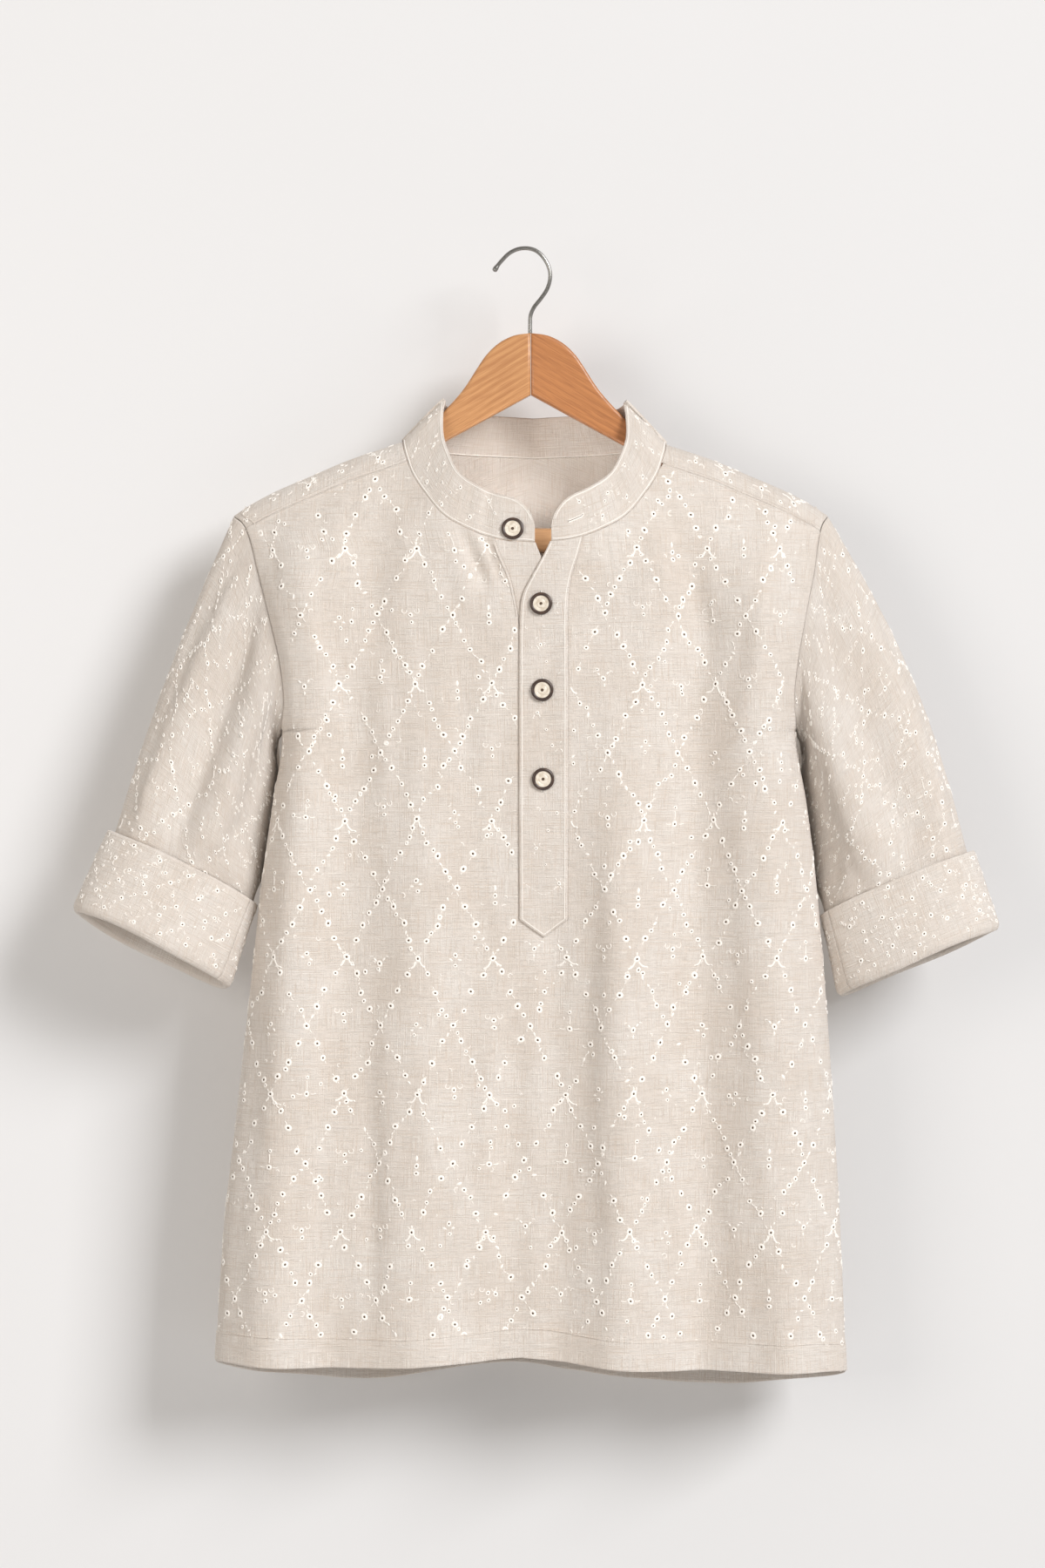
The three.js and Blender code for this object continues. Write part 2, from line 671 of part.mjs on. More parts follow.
// The collar at an angle and at a share of its height.
function collarPoint(angle, share) {
  const turned = angle > 180 ? angle - 360 : angle;
  const base = neckAt(turned);
  const point = shoulderPoint(base.x, base.reach);
  const lean = read(COLLAR, "angle", Math.abs(turned), "lean") * share;
  const rise = read(COLLAR, "angle", Math.abs(turned), "rise") * share;
  point.x -= lean * sine(turned);
  point.y += lean * cosine(turned);
  point.z += rise + SEAM_GAP;
  return point;
}

function collarGeometry() {
  const start = endAngle(COLLAR_LEFT_END_X);
  const end = 360 + endAngle(COLLAR_RIGHT_END_X);
  const cornerAngle = endAngle(NECK_X + COLLAR_CORNER);
  const corner = [0, 0.06, 0.2, 0.45, 0.72, 1].map((share) => share * cornerAngle);
  const angles = [
    ...corner.map((turn) => start + turn).filter((angle) => angle < neckAngles(1)[NECK_COLUMNS] - 1),
    ...neckAngles(1).reverse(),
    ...backNeckAngles().slice(1, -1),
    ...neckAngles(-1).map((angle) => angle + 360),
    ...corner.map((turn) => end - turn).reverse(),
  ];
  const shares = [1, 0.67, 0.33, 0];
  const points = shares.map((share) =>
    angles.map((angle) => {
      const fromEnd = (Math.min(angle - start, end - angle) / cornerAngle) * COLLAR_CORNER;
      const near = clamp(1 - fromEnd / COLLAR_CORNER, 0, 1);
      const cutBack = COLLAR_CORNER * (1 - Math.sqrt(1 - near * near));
      return collarPoint(angle, share * (1 - cutBack / read(COLLAR, "angle", 0, "rise")));
    }),
  );
  return wall(points, BAND_CLOTH);
}

// ---------------------------------------------------------------- placket and buttons

const PLACKET_ROWS = 16;

// A placket band on the front's surface, its face raised above it.
function placketGeometry(rightColumn, leftColumn, raised, endZAt) {
  const points = steps([0, 0.32, 1], [PLACKET_ROWS / 2, PLACKET_ROWS / 2]).map((down) =>
    steps([0, 1], [2]).map((share) => {
      let z = -240;
      const xAt = () => mix(placketAt(rightColumn, z), placketAt(leftColumn, z), share);
      for (let i = 0; i < 20; i++) z = mix(z, mix(frontTopZ(xAt()), endZAt(share), down), 0.5);
      const point = bodyPoint(FRONT, xAt(), z);
      return point.addScaledVector(bodyNormal(FRONT, point), raised);
    }),
  );
  return wall(points, BAND_CLOTH, { normalAt: (point) => bodyNormal(FRONT, point) });
}

function buttonGeometry() {
  const rimTop = BUTTON_THICKNESS;
  const faceTop = BUTTON_THICKNESS - BUTTON_FACE_DROP;
  const profile = [
    [0, 0],
    [BUTTON_RADIUS - 1, 0],
    [BUTTON_RADIUS, 0.9],
    [BUTTON_RADIUS - 0.3, rimTop - 0.4],
    [BUTTON_RADIUS - 1.2, rimTop],
    [BUTTON_FACE_RADIUS + 0.5, rimTop - 0.1],
    [BUTTON_FACE_RADIUS, faceTop],
    [0, faceTop],
  ].map(([radius, height]) => new THREE.Vector2(radius, height));
  return new THREE.LatheGeometry(profile, 20);
}

// Sets a button down on the cloth at a point, facing along a direction.
function placedButton(point, facing) {
  const turn = new THREE.Quaternion().setFromUnitVectors(new THREE.Vector3(0, 1, 0), facing);
  const place = point.clone().addScaledVector(facing, SEAM_GAP * 2);
  return buttonGeometry().applyQuaternion(turn).translate(place.x, place.y, place.z);
}

function buttonOn({ x, z, angle, share }) {
  if (angle === undefined) {
    const point = bodyPoint(FRONT, x, z);
    const facing = bodyNormal(FRONT, point);
    return placedButton(point.addScaledVector(facing, SEAM_GAP + BAND_CLOTH), facing);
  }
  const along = collarPoint(angle + 5, share).sub(collarPoint(angle - 5, share));
  const down = collarPoint(angle, share - 0.2).sub(collarPoint(angle, share + 0.2));
  return placedButton(collarPoint(angle, share), down.cross(along).normalize());
}

// ---------------------------------------------------------------- sleeves and cuffs

const AROUND = 22;
const SLEEVE_LEVELS = steps([0, 0.24, 0.84, 1], [4, 6, 3]);
const ringAngles = ({ side }) => {
  const angles = [];
  for (let k = 0; k < AROUND; k++) angles.push((k * 360) / AROUND);
  return side < 0 ? angles : angles.reverse();
};

// The armhole at an angle round it: 0 at the shoulder, 90 in front, 180 under the arm.
function armholePoint({ side }, angle) {
  const isBack = angle > 180;
  const topZ = read(ARMHOLE, "z", 0, "z");
  const z = mix(topZ, UNDERARM_Z, (1 - cosine(angle)) / 2);
  const x = panelEdge(side, z + 0.001, isBack);
  return bodyPoint(isBack ? BACK : FRONT, x, z);
}

// A point of the sleeve's end or of its cuff: along from the mouth and out from the cloth.
function mouthPoint({ mouth, across, down, cuffLength }, angle, along, out) {
  const front = vector(down).cross(vector(across)).normalize();
  front.multiplyScalar(-Math.sign(front.y));
  const flare = (Math.max(0, -cosine(angle)) * CUFF_INNER_FLARE * along) / cuffLength;
  return vector(mouth)
    .addScaledVector(vector(down), along)
    .addScaledVector(vector(across), (SLEEVE_HALF_WIDTH + out + flare) * cosine(angle))
    .addScaledVector(front, (SLEEVE_HALF_DEPTH + out) * sine(angle));
}

// How far the sleeve's folds stand out of it at an angle round it.
function sleeveFold({ folds }, angle, level) {
  const grown = smooth(level / 0.25) * (1 - 0.6 * smooth((level - 0.84) / 0.16));
  const heights = folds.map((fold) => fold.height * Math.exp(-(((angle - fold.angle) / fold.width) ** 2)));
  return grown * heights.reduce((sum, height) => sum + height, 0);
}

function sleevePoint(sleeve, angle, level) {
  const mouth = mouthPoint(sleeve, angle, 0, 0);
  const point = armholePoint(sleeve, angle).lerp(mouth, level);
  const outward = mouth.clone().sub(vector(sleeve.mouth)).normalize();
  point.addScaledVector(outward, sleeveFold(sleeve, angle, level));
  const outer = Math.max(0, cosine(angle)) * sine(180 * level);
  point.addScaledVector(vector(sleeve.across), sleeve.bulge * outer);
  return tuckInner(sleeve, point, angle, level);
}

// Lets the sleeve's inner side hang clear of the body's edge and in behind it.
function tuckInner(sleeve, point, angle, level) {
  const { side } = sleeve;
  const clear = side * SLEEVE_CLEAR * smooth(level / 0.06) * (1 - level);
  point.x += (clear * (1 - cosine(angle))) / 2;
  const innerLine = armholePoint(sleeve, 180).lerp(mouthPoint(sleeve, 180, 0, 0), level);
  const tuckedX = panelEdge(side, innerLine.z - 1, true) - side * SLEEVE_TUCK;
  const behind = bodyPoint(BACK, tuckedX, innerLine.z);
  const inner = Math.max(0, -cosine(angle)) ** 3;
  const fades = 1 - smooth((level - 0.7) / 0.3);
  const aside = smooth((level - 0.12) / 0.25) * fades;
  point.x += (behind.x - innerLine.x - clear) * inner * aside;
  point.y += (behind.y + CLOTH + 2.5 - innerLine.y) * inner * smooth(level / 0.16) * fades;
  return point;
}

function sleeveGeometry(sleeve) {
  const points = SLEEVE_LEVELS.map((level, row) =>
    ringAngles(sleeve).map((angle) => {
      const point = sleevePoint(sleeve, angle, level);
      if (row > 0) return point;
      const away = sleevePoint(sleeve, angle, SLEEVE_LEVELS[1]).sub(point).normalize();
      return point.addScaledVector(away, SLEEVE_SEAM_GAP);
    }),
  );
  for (const along of [SLEEVE_IN_CUFF / 2, SLEEVE_IN_CUFF]) {
    points.push(ringAngles(sleeve).map((angle) => mouthPoint(sleeve, angle, along, 0)));
  }
  return wall(points, CLOTH, { closed: true });
}

function cuffGeometry(sleeve) {
  const points = CUFF.map(({ along, out }) =>
    ringAngles(sleeve).map((angle) => mouthPoint(sleeve, angle, along * sleeve.cuffLength, out)),
  );
  return wall(points, CUFF_CLOTH, { closed: true });
}

// ---------------------------------------------------------------- hanger

// One of the hanger's two wooden arms, on the given side.
function armGeometry(side) {
  const shoulder = [106, 125, 147, 175, 195, 208].map((x) => ({ x, z: shoulderZ(x) - WOOD_UNDER_CLOTH }));
  const outline = [...WOOD_TOP, ...shoulder, ...WOOD_FOOT];
  const shape = new THREE.Shape(outline.map(({ x, z }) => new THREE.Vector2(side * x, z)));
  const flat = WOOD_THICKNESS - 2 * WOOD_BEVEL;
  const arm = new THREE.ExtrudeGeometry(shape, {
    depth: flat,
    bevelThickness: WOOD_BEVEL,
    bevelSize: WOOD_BEVEL,
    bevelOffset: -WOOD_BEVEL,
    bevelSegments: 2,
    curveSegments: 1,
  });
  return arm.rotateX(Math.PI / 2).translate(0, flat / 2, 0);
}

function barGeometry() {
  const [w, h, r] = [BAR_DEPTH / 2, BAR_HEIGHT / 2, BAR_CORNER];
  const shape = new THREE.Shape()
    .moveTo(-w, -h + r)
    .absarc(-w + r, -h + r, r, Math.PI, Math.PI * 1.5)
    .absarc(w - r, -h + r, r, Math.PI * 1.5, Math.PI * 2)
    .absarc(w - r, h - r, r, 0, Math.PI / 2)
    .absarc(-w + r, h - r, r, Math.PI / 2, Math.PI);
  const bar = new THREE.ExtrudeGeometry(shape, {
    depth: BAR_HALF_LENGTH * 2,
    bevelEnabled: false,
    curveSegments: 4,
  });
  return bar
    .rotateX(Math.PI / 2)
    .rotateZ(Math.PI / 2)
    .translate(-BAR_HALF_LENGTH, 0, BAR_Z);
}

function hookGeometry() {
  const points = [];
  HOOK.forEach(({ x, z, radius }, i) => {
    const before = HOOK[Math.max(i - 1, 0)];
    const after = HOOK[Math.min(i + 1, HOOK.length - 1)];
    const along = new THREE.Vector3(after.x - before.x, 0, after.z - before.z).normalize();
    const across = new THREE.Vector3(-along.z, 0, along.x);
    for (let k = 0; k < WIRE_SIDES; k++) {
      const turn = (k * 360) / WIRE_SIDES;
      const point = new THREE.Vector3(x, 0, z).addScaledVector(across, radius * cosine(turn));
      point.y = radius * sine(turn);
      points.push(point);
    }
  });
  const faces = [];
  const last = HOOK.length - 1;
  for (let k = 0; k < WIRE_SIDES; k++) {
    const next = (k + 1) % WIRE_SIDES;
    for (let i = 0; i < last; i++) faces.push(...cell(i, k, next, WIRE_SIDES));
    if (k > 0 && next > 0) {
      faces.push([0, k, next]);
      faces.push([last * WIRE_SIDES, last * WIRE_SIDES + next, last * WIRE_SIDES + k]);
    }
  }
  return geometryOf(points, faces);
}

// ---------------------------------------------------------------- the whole

const FINISHES = {
  linen: { color: 0xe4d8c8, roughness: 0.92, metalness: 0 },
  wood: { color: 0xc98d58, roughness: 0.55, metalness: 0 },
  button: { color: 0x4a3327, roughness: 0.5, metalness: 0 },
  steel: { color: 0xb9b8b5, roughness: 0.25, metalness: 1 },
};

const group = new THREE.Group();

// Adds a piece, moved over so that the hook's top is at the origin.
function add(name, geometry, finish) {
  const piece = new THREE.Mesh(geometry, new THREE.MeshStandardMaterial(FINISHES[finish]));
  geometry.translate(-HOOK_X, 0, 0);
  piece.name = name;
  group.add(piece);
}

const overEnd = (share) => mix(PLACKET_SHOULDER_Z, PLACKET_POINT_Z, 1 - Math.abs(2 * share - 1));
const overRaised = SEAM_GAP + BAND_CLOTH;
const underRaised = -CLOTH - 2 * SEAM_GAP;

add("front_panel", frontGeometry(), "linen");
add("back_panel", backGeometry(), "linen");
add("yoke", yokeGeometry(), "linen");
add("collar_band", collarGeometry(), "linen");
add("placket_over", placketGeometry("overRight", "overLeft", overRaised, overEnd), "linen");
const underEnd = () => SLOT_END_Z - SLOT_LAP;
add("placket_under", placketGeometry("underRight", "underLeft", underRaised, underEnd), "linen");
for (const sleeve of SLEEVES) {
  add(`sleeve_${sleeve.name}`, sleeveGeometry(sleeve), "linen");
  add(`cuff_${sleeve.name}`, cuffGeometry(sleeve), "linen");
}
for (const button of BUTTONS) add(button.name, buttonOn(button), "button");
add("hanger_arm_right", armGeometry(-1), "wood");
add("hanger_arm_left", armGeometry(1), "wood");
add("hanger_bar", barGeometry(), "wood");
add("hanger_hook", hookGeometry(), "steel");

export default group;
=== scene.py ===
"""A short linen kurta on a wooden hanger, dressed as finished pieces.

Metres, +Z up. The front faces -Y, and left and right are the wearer's, so the wearer's
right is at -X. The origin is the point inside the hanger's hook that bears on its nail.
The garment's own tables are in millimetres, with x from its middle plane, and turn into
metres of the row frame when a mesh is made.
"""

import logging
import math
from collections.abc import Callable
from dataclasses import dataclass, field
from enum import Enum

import bpy  # noqa: E402
import numpy as np  # noqa: E402
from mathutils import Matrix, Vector  # noqa: E402

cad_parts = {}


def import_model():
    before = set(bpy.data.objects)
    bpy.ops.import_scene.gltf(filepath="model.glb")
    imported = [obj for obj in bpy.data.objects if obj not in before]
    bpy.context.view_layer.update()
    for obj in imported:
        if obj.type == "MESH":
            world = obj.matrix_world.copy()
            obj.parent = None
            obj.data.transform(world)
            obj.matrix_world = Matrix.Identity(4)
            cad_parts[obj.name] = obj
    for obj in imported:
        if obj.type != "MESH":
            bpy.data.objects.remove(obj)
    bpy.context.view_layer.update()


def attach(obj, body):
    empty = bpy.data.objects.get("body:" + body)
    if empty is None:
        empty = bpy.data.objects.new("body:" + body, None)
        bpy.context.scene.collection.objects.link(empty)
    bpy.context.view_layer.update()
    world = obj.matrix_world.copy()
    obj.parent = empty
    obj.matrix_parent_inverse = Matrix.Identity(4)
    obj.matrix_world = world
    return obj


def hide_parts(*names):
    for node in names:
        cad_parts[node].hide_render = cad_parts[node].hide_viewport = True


log = logging.getLogger("kurta")

Array = np.ndarray

MILLIMETRE = 0.001
ROW_X = 4.5  # the garment's middle plane in the row frame
CLOTH = 1.2  # thickness of single cloth
BAND_CLOTH = 1.8  # thickness of the doubled cloth of collar and plackets
SEAM_GAP = 0.1  # clearance between pieces that are sewn together
COLLAR_HEIGHT = 35.0  # of the collar laid flat
PLACKET_BUTTONS = ((8.0, -287.0), (8.6, -355.0), (9.2, -425.0))  # x and z of each


class Side(Enum):
    """The wearer's two sides, by the sign of x."""

    RIGHT = -1
    LEFT = 1

    @property
    def word(self) -> str:
        """The side's name in a piece's name."""
        return self.name.lower()


# ---------------------------------------------------------------- small helpers


def mix(a: Array | float, b: Array | float, share: Array | float) -> Array:
    """The value at a share of the way from a to b."""
    return np.asarray(a) + (np.asarray(b) - np.asarray(a)) * share


def smooth(share: Array | float) -> Array:
    """A share from 0 to 1 that leaves and arrives gently."""
    t = np.clip(share, 0.0, 1.0)
    return t * t * (3.0 - 2.0 * t)


def sine(degrees: Array | float) -> Array:
    """The sine of an angle in degrees."""
    return np.sin(np.radians(degrees))


def cosine(degrees: Array | float) -> Array:
    """The cosine of an angle in degrees."""
    return np.cos(np.radians(degrees))


def unit(vectors: Array) -> Array:
    """Vectors scaled to a length of 1."""
    length = np.linalg.norm(vectors, axis=-1, keepdims=True)
    return vectors / np.maximum(length, 1e-9)


def travelled(path: Array) -> Array:
    """The length along a path up to each of its points."""
    run = np.linalg.norm(np.diff(path, axis=0), axis=-1)
    return np.concatenate([[0.0], np.cumsum(run)])


def graded(width: float, cell: float, first: tuple[float, ...] = (0.7, 1.8)) -> Array:
    """Shares of a width in even cells, with finer ones at the start.

    Args:
        width: The whole width in millimetres.
        cell: The size of the even cells.
        first: Where the fine cells at the start end.

    Returns:
        Growing shares from 0 to 1.
    """
    count = max(2, round((width - first[-1]) / cell))
    even = np.linspace(first[-1], width, count + 1)[1:]
    return np.concatenate([[0.0], first, even]) / width


def graded_both(width: float, cell: float, first: tuple[float, ...] = (0.7, 1.8)) -> Array:
    """Shares of a width in even cells, with finer ones at both ends."""
    half = graded(width / 2, cell, first) / 2
    return np.concatenate([half, 1.0 - half[:-1][::-1]])


@dataclass(frozen=True)
class Track:
    """A smooth curve through the rows of a table, flat beyond its ends.

    Attributes:
        at: Where the rows are.
        value: What the curve is there.
    """

    at: tuple[float, ...]
    value: tuple[float, ...]

    def __call__(self, where: Array | float) -> Array:
        """The curve's value.

        Args:
            where: Places along the table.

        Returns:
            One value for each place.
        """
        at = np.asarray(self.at, float)
        value = np.asarray(self.value, float)
        if at[0] > at[-1]:
            at, value = at[::-1], value[::-1]
        slope = np.empty_like(value)
        slope[1:-1] = (value[2:] - value[:-2]) / (at[2:] - at[:-2])
        slope[0] = (value[1] - value[0]) / (at[1] - at[0])
        slope[-1] = (value[-1] - value[-2]) / (at[-1] - at[-2])
        x = np.clip(np.asarray(where, float), at[0], at[-1])
        i = np.clip(np.searchsorted(at, x, side="right") - 1, 0, len(at) - 2)
        step = at[i + 1] - at[i]
        t = (x - at[i]) / step
        start = 2 * t**3 - 3 * t**2 + 1
        return (
            start * value[i]
            + (1 - start) * value[i + 1]
            + (t**3 - 2 * t**2 + t) * slope[i] * step
            + (t**3 - t**2) * slope[i + 1] * step
        )


@dataclass(frozen=True)
class Rumple:
    """The soft unevenness of hanging linen, as seeded waves that mostly run upright.

    Attributes:
        seed: Which set of waves.
        height: The usual height of the waves together, in millimetres.
        shortest: The shortest wave.
        longest: The longest wave.
        lean: How much the waves turn away from upright.
        count: How many waves there are.
    """

    seed: int
    height: float = 0.7
    shortest: float = 20.0
    longest: float = 100.0
    lean: float = 0.35
    count: int = 28

    def __call__(self, s: Array, t: Array) -> Array:
        """The height of the waves at flat places.

        Args:
            s: Places across the cloth.
            t: Places down the cloth.

        Returns:
            How far the cloth stands out there.
        """
        rng = np.random.default_rng(self.seed)
        length = np.geomspace(self.shortest, self.longest, self.count)
        turn = rng.normal(0.0, self.lean, self.count)
        phase = rng.uniform(0.0, 2 * math.pi, (self.count, 2))
        swell = (length / self.longest) ** 0.9
        swell /= math.sqrt(0.5 * float(np.sum(swell**2)))
        total = np.zeros(np.broadcast(s, t).shape)
        for k in range(self.count):
            along = (s * math.cos(turn[k]) + 0.5 * t * math.sin(turn[k])) / length[k]
            fade = 0.6 + 0.4 * np.sin(t / (1.1 * length[k]) + s / (3.1 * length[k]) + phase[k, 1])
            total = total + swell[k] * fade * np.sin(2 * math.pi * along + phase[k, 0])
        return self.height * total


# ---------------------------------------------------------------- flat cloth


@dataclass
class Unrolled:
    """A surface laid out flat, to work on it in the cloth's own lengths.

    Attributes:
        t: The place of each row down the cloth, growing.
        s: The place of each point across the cloth, growing along its row.
        points: The points, in rows.
        across: The surface's own coordinate along each row.
        facing: 1 if down the rows crossed with along them points outward, otherwise -1.
    """

    t: Array
    s: Array
    points: Array
    across: Array
    facing: int = 1
    normals: Array = field(init=False)

    def __post_init__(self) -> None:
        """Works out which way the surface faces at each point."""
        down = np.gradient(self.points, axis=0)
        along = np.gradient(self.points, axis=1)
        self.normals = self.facing * unit(np.cross(down, along))

    @staticmethod
    def lengths(points: Array, middle: int) -> Array:
        """The length along each row, from the column called middle.

        Args:
            points: The points, in rows.
            middle: The column whose length is 0.

        Returns:
            A length for each point.
        """
        step = np.linalg.norm(np.diff(points, axis=1), axis=-1)
        total = np.concatenate([np.zeros((len(points), 1)), np.cumsum(step, axis=1)], axis=1)
        return total - total[:, middle : middle + 1]

    def _read(self, key: Array, value: Array, row: Array, at: Array) -> Array:
        """The value in whole rows, between the columns where the key is at a place."""
        rows, columns = key.shape
        low = key.min()
        span = 2 * (key.max() - low) + 1
        keys = (key - low + span * np.arange(rows)[:, None]).ravel()
        wanted = np.clip(at, key[row, 0], key[row, -1]) - low + span * row
        j = np.searchsorted(keys, wanted, side="right") - 1
        j = np.clip(j, row * columns, row * columns + columns - 2)
        share = np.clip((wanted - keys[j]) / np.maximum(keys[j + 1] - keys[j], 1e-9), 0, 1)
        flat = value.reshape(rows * columns, -1)
        return mix(flat[j], flat[j + 1], share[:, None])

    def _between(self, key: Array, value: Array, at: Array, t: Array) -> Array:
        """The value between two rows at places along them."""
        at, t = np.broadcast_arrays(np.asarray(at, float), np.asarray(t, float))
        shape = at.shape
        at, t = at.ravel(), t.ravel()
        row = np.clip(np.searchsorted(self.t, t, side="right") - 1, 0, len(self.t) - 2)
        share = np.clip((t - self.t[row]) / (self.t[row + 1] - self.t[row]), 0, 1)
        found = mix(
            self._read(key, value, row, at), self._read(key, value, row + 1, at), share[:, None]
        )
        return found.reshape(*shape, -1)

    def place(self, s: Array, t: Array, lift: Array | float = 0.0) -> Array:
        """Points above the cloth.

        Args:
            s: Places across the cloth.
            t: Places down the cloth.
            lift: How far the points are above it.

        Returns:
            The points, in the garment's millimetres.
        """
        at = self._between(self.s, self.points, s, t)
        facing = unit(self._between(self.s, self.normals, s, t))
        return at + facing * np.asarray(lift)[..., None]

    def s_of(self, across: Array, t: Array) -> Array:
        """The place across the cloth of a value of the surface's own coordinate."""
        return self._between(self.across, self.s[..., None], across, t)[..., 0]

    def across_of(self, s: Array, t: Array) -> Array:
        """The surface's own coordinate at flat places."""
        return self._between(self.s, self.across[..., None], s, t)[..., 0]

    def flat(self, across: Array, t: Array) -> Array:
        """Flat places, as pairs of s and t, of values of the surface's own coordinate."""
        return np.stack([self.s_of(across, t), t], axis=-1)

    def raised(self, lift: float) -> "Unrolled":
        """The same flat surface, moved out by a lift."""
        points = self.points + self.normals * lift
        return Unrolled(self.t, self.s, points, self.across, self.facing)

    @staticmethod
    def of(
        surface: Callable[[Array, Array], Array],
        across: Array,
        rows: Array,
        columns: tuple[int, int],
        facing: int,
    ) -> "Unrolled":
        """Lays out a surface that is given by its own two coordinates.

        Args:
            surface: Gives the points.
            across: The coordinate along each row.
            rows: The coordinate down the rows.
            columns: The columns from which lengths across and down are taken.
            facing: As the attribute.

        Returns:
            The surface laid out flat.
        """
        across, rows = np.broadcast_arrays(across[None, :], rows[:, None])
        points = surface(across, rows)
        s = Unrolled.lengths(points, columns[0])
        return Unrolled(travelled(points[:, columns[1]]), s, points, across.copy(), facing)


@dataclass
class BodyCloth(Unrolled):
    """The front or the back laid out flat, with x as its own coordinate.

    Attributes:
        edges: The side seams by height, right and left, where x is read exactly.
    """

    edges: tuple[Track, ...] = ()

    def s_of(self, across: Array, t: Array) -> Array:
        """The place across the cloth of an x."""
        across, t = np.broadcast_arrays(np.asarray(across, float), np.asarray(t, float))
        right, left = (edge(-t) for edge in self.edges)
        turn = np.arccos(np.clip(1 - 2 * (across - right) / (left - right), -1, 1))
        return super().s_of(turn, t)

    def across_of(self, s: Array, t: Array) -> Array:
        """The x at flat places."""
        s, t = np.broadcast_arrays(np.asarray(s, float), np.asarray(t, float))
        right, left = (edge(-t) for edge in self.edges)
        return mix(right, left, (1 - np.cos(super().across_of(s, t))) / 2)


def grid_normals(points: Array) -> Array:
    """The outward directions of a grid of cloth whose rows go down."""
    return unit(np.cross(np.gradient(points, axis=0), np.gradient(points, axis=1)))


# ---------------------------------------------------------------- meshes


def grid_quads(rows: int, columns: int, closed: bool = False) -> Array:
    """The faces of a grid of points.

    Args:
        rows: Rows of points.
        columns: Points in a row.
        closed: Whether the last column meets the first.

    Returns:
        The four corners of each face, as numbers of points.
    """
    index = np.arange(rows * columns).reshape(rows, columns)
    after = np.roll(index, -1, axis=1)
    if not closed:
        index, after = index[:, :-1], after[:, :-1]
    return np.stack([index[:-1], index[1:], after[1:], after[:-1]], axis=-1).reshape(-1, 4)


@dataclass
class Mesh:
    """Points and faces that are gathered and then made into one object.

    Attributes:
        points: Blocks of points, in the garment's millimetres.
        flats: A flat place in millimetres for each point.
        faces: Blocks of faces, all of one block with as many corners.
        finishes: For each block of faces, which of the object's materials it has.
    """

    points: list[Array] = field(default_factory=list)
    flats: list[Array] = field(default_factory=list)
    faces: list[Array] = field(default_factory=list)
    finishes: list[int] = field(default_factory=list)
    count: int = 0

    def add_points(self, points: Array, flats: Array | None = None) -> int:
        """Adds points and returns the number of the first.

        Args:
            points: The points.
            flats: Their flat places, or none to take x and z.

        Returns:
            The number of the first of them.
        """
        start = self.count
        points = points.reshape(-1, 3)
        flats = points[:, [0, 2]] if flats is None else flats.reshape(-1, 2)
        self.points.append(points)
        self.flats.append(flats)
        self.count += len(points)
        return start

    def add_faces(self, faces: Array, finish: int = 0) -> None:
        """Adds faces with one material."""
        if len(faces):
            self.faces.append(np.asarray(faces, np.int64))
            self.finishes.append(finish)

    def add_copies(
        self, points: Array, flats: Array, faces: list[tuple[Array, int]]
    ) -> None:
        """Adds many copies of one small form.

        Args:
            points: The points of all copies, as copy by point.
            flats: Their flat places.
            faces: The faces of one copy, in blocks with their material.
        """
        start = self.add_points(points, flats)
        copies, size = points.shape[:2]
        offset = start + size * np.arange(copies)[:, None, None]
        for block, finish in faces:
            self.add_faces((block[None] + offset).reshape(-1, block.shape[1]), finish)

    def add_tube(self, points: Array, inside_out: bool = False) -> None:
        """Adds a tube of closed rings of points to an empty mesh, with a cap at each end.

        Args:
            points: The points, ring by ring.
            inside_out: Whether the rings run the other way round.
        """
        self.add_points(points)
        rings, sides = points.shape[:2]
        first = np.arange(sides)[None]
        caps = (first, first[:, ::-1] + (rings - 1) * sides)
        for faces in (grid_quads(rings, sides, True), *caps):
            self.add_faces(faces[:, ::-1] if inside_out else faces)

    def make(self, name: str, finishes: list[bpy.types.Material]) -> bpy.types.Object:
        """Makes the object, in the metres of the row frame.

        Args:
            name: The object's name.
            finishes: Its materials.

        Returns:
            The object, in the scene.
        """
        points = np.concatenate(self.points) + [ROW_X, 0.0, 0.0]
        sizes = np.concatenate([np.full(len(f), f.shape[1]) for f in self.faces])
        corners = np.concatenate([f.ravel() for f in self.faces])
        data = bpy.data.meshes.new(name)
        data.vertices.add(len(points))
        data.vertices.foreach_set("co", (points * MILLIMETRE).astype(np.float32).ravel())
        data.loops.add(len(corners))
        data.loops.foreach_set("vertex_index", corners.astype(np.int32))
        data.polygons.add(len(sizes))
        starts = np.concatenate([[0], np.cumsum(sizes)[:-1]])
        data.polygons.foreach_set("loop_start", starts.astype(np.int32))
        finish = np.concatenate([np.full(len(f), k) for f, k in zip(self.faces, self.finishes)])
        data.polygons.foreach_set("material_index", finish.astype(np.int32))
        data.polygons.foreach_set("use_smooth", np.ones(len(sizes), bool))
        flats = np.concatenate(self.flats)[corners] * MILLIMETRE
        layer = data.uv_layers.new(name="Flat")
        layer.data.foreach_set("uv", flats.astype(np.float32).ravel())
        data.update(calc_edges=True)
        data.validate()
        made = bpy.data.objects.new(name, data)
        for material in finishes:
            data.materials.append(material)
        bpy.context.scene.collection.objects.link(made)
        return made


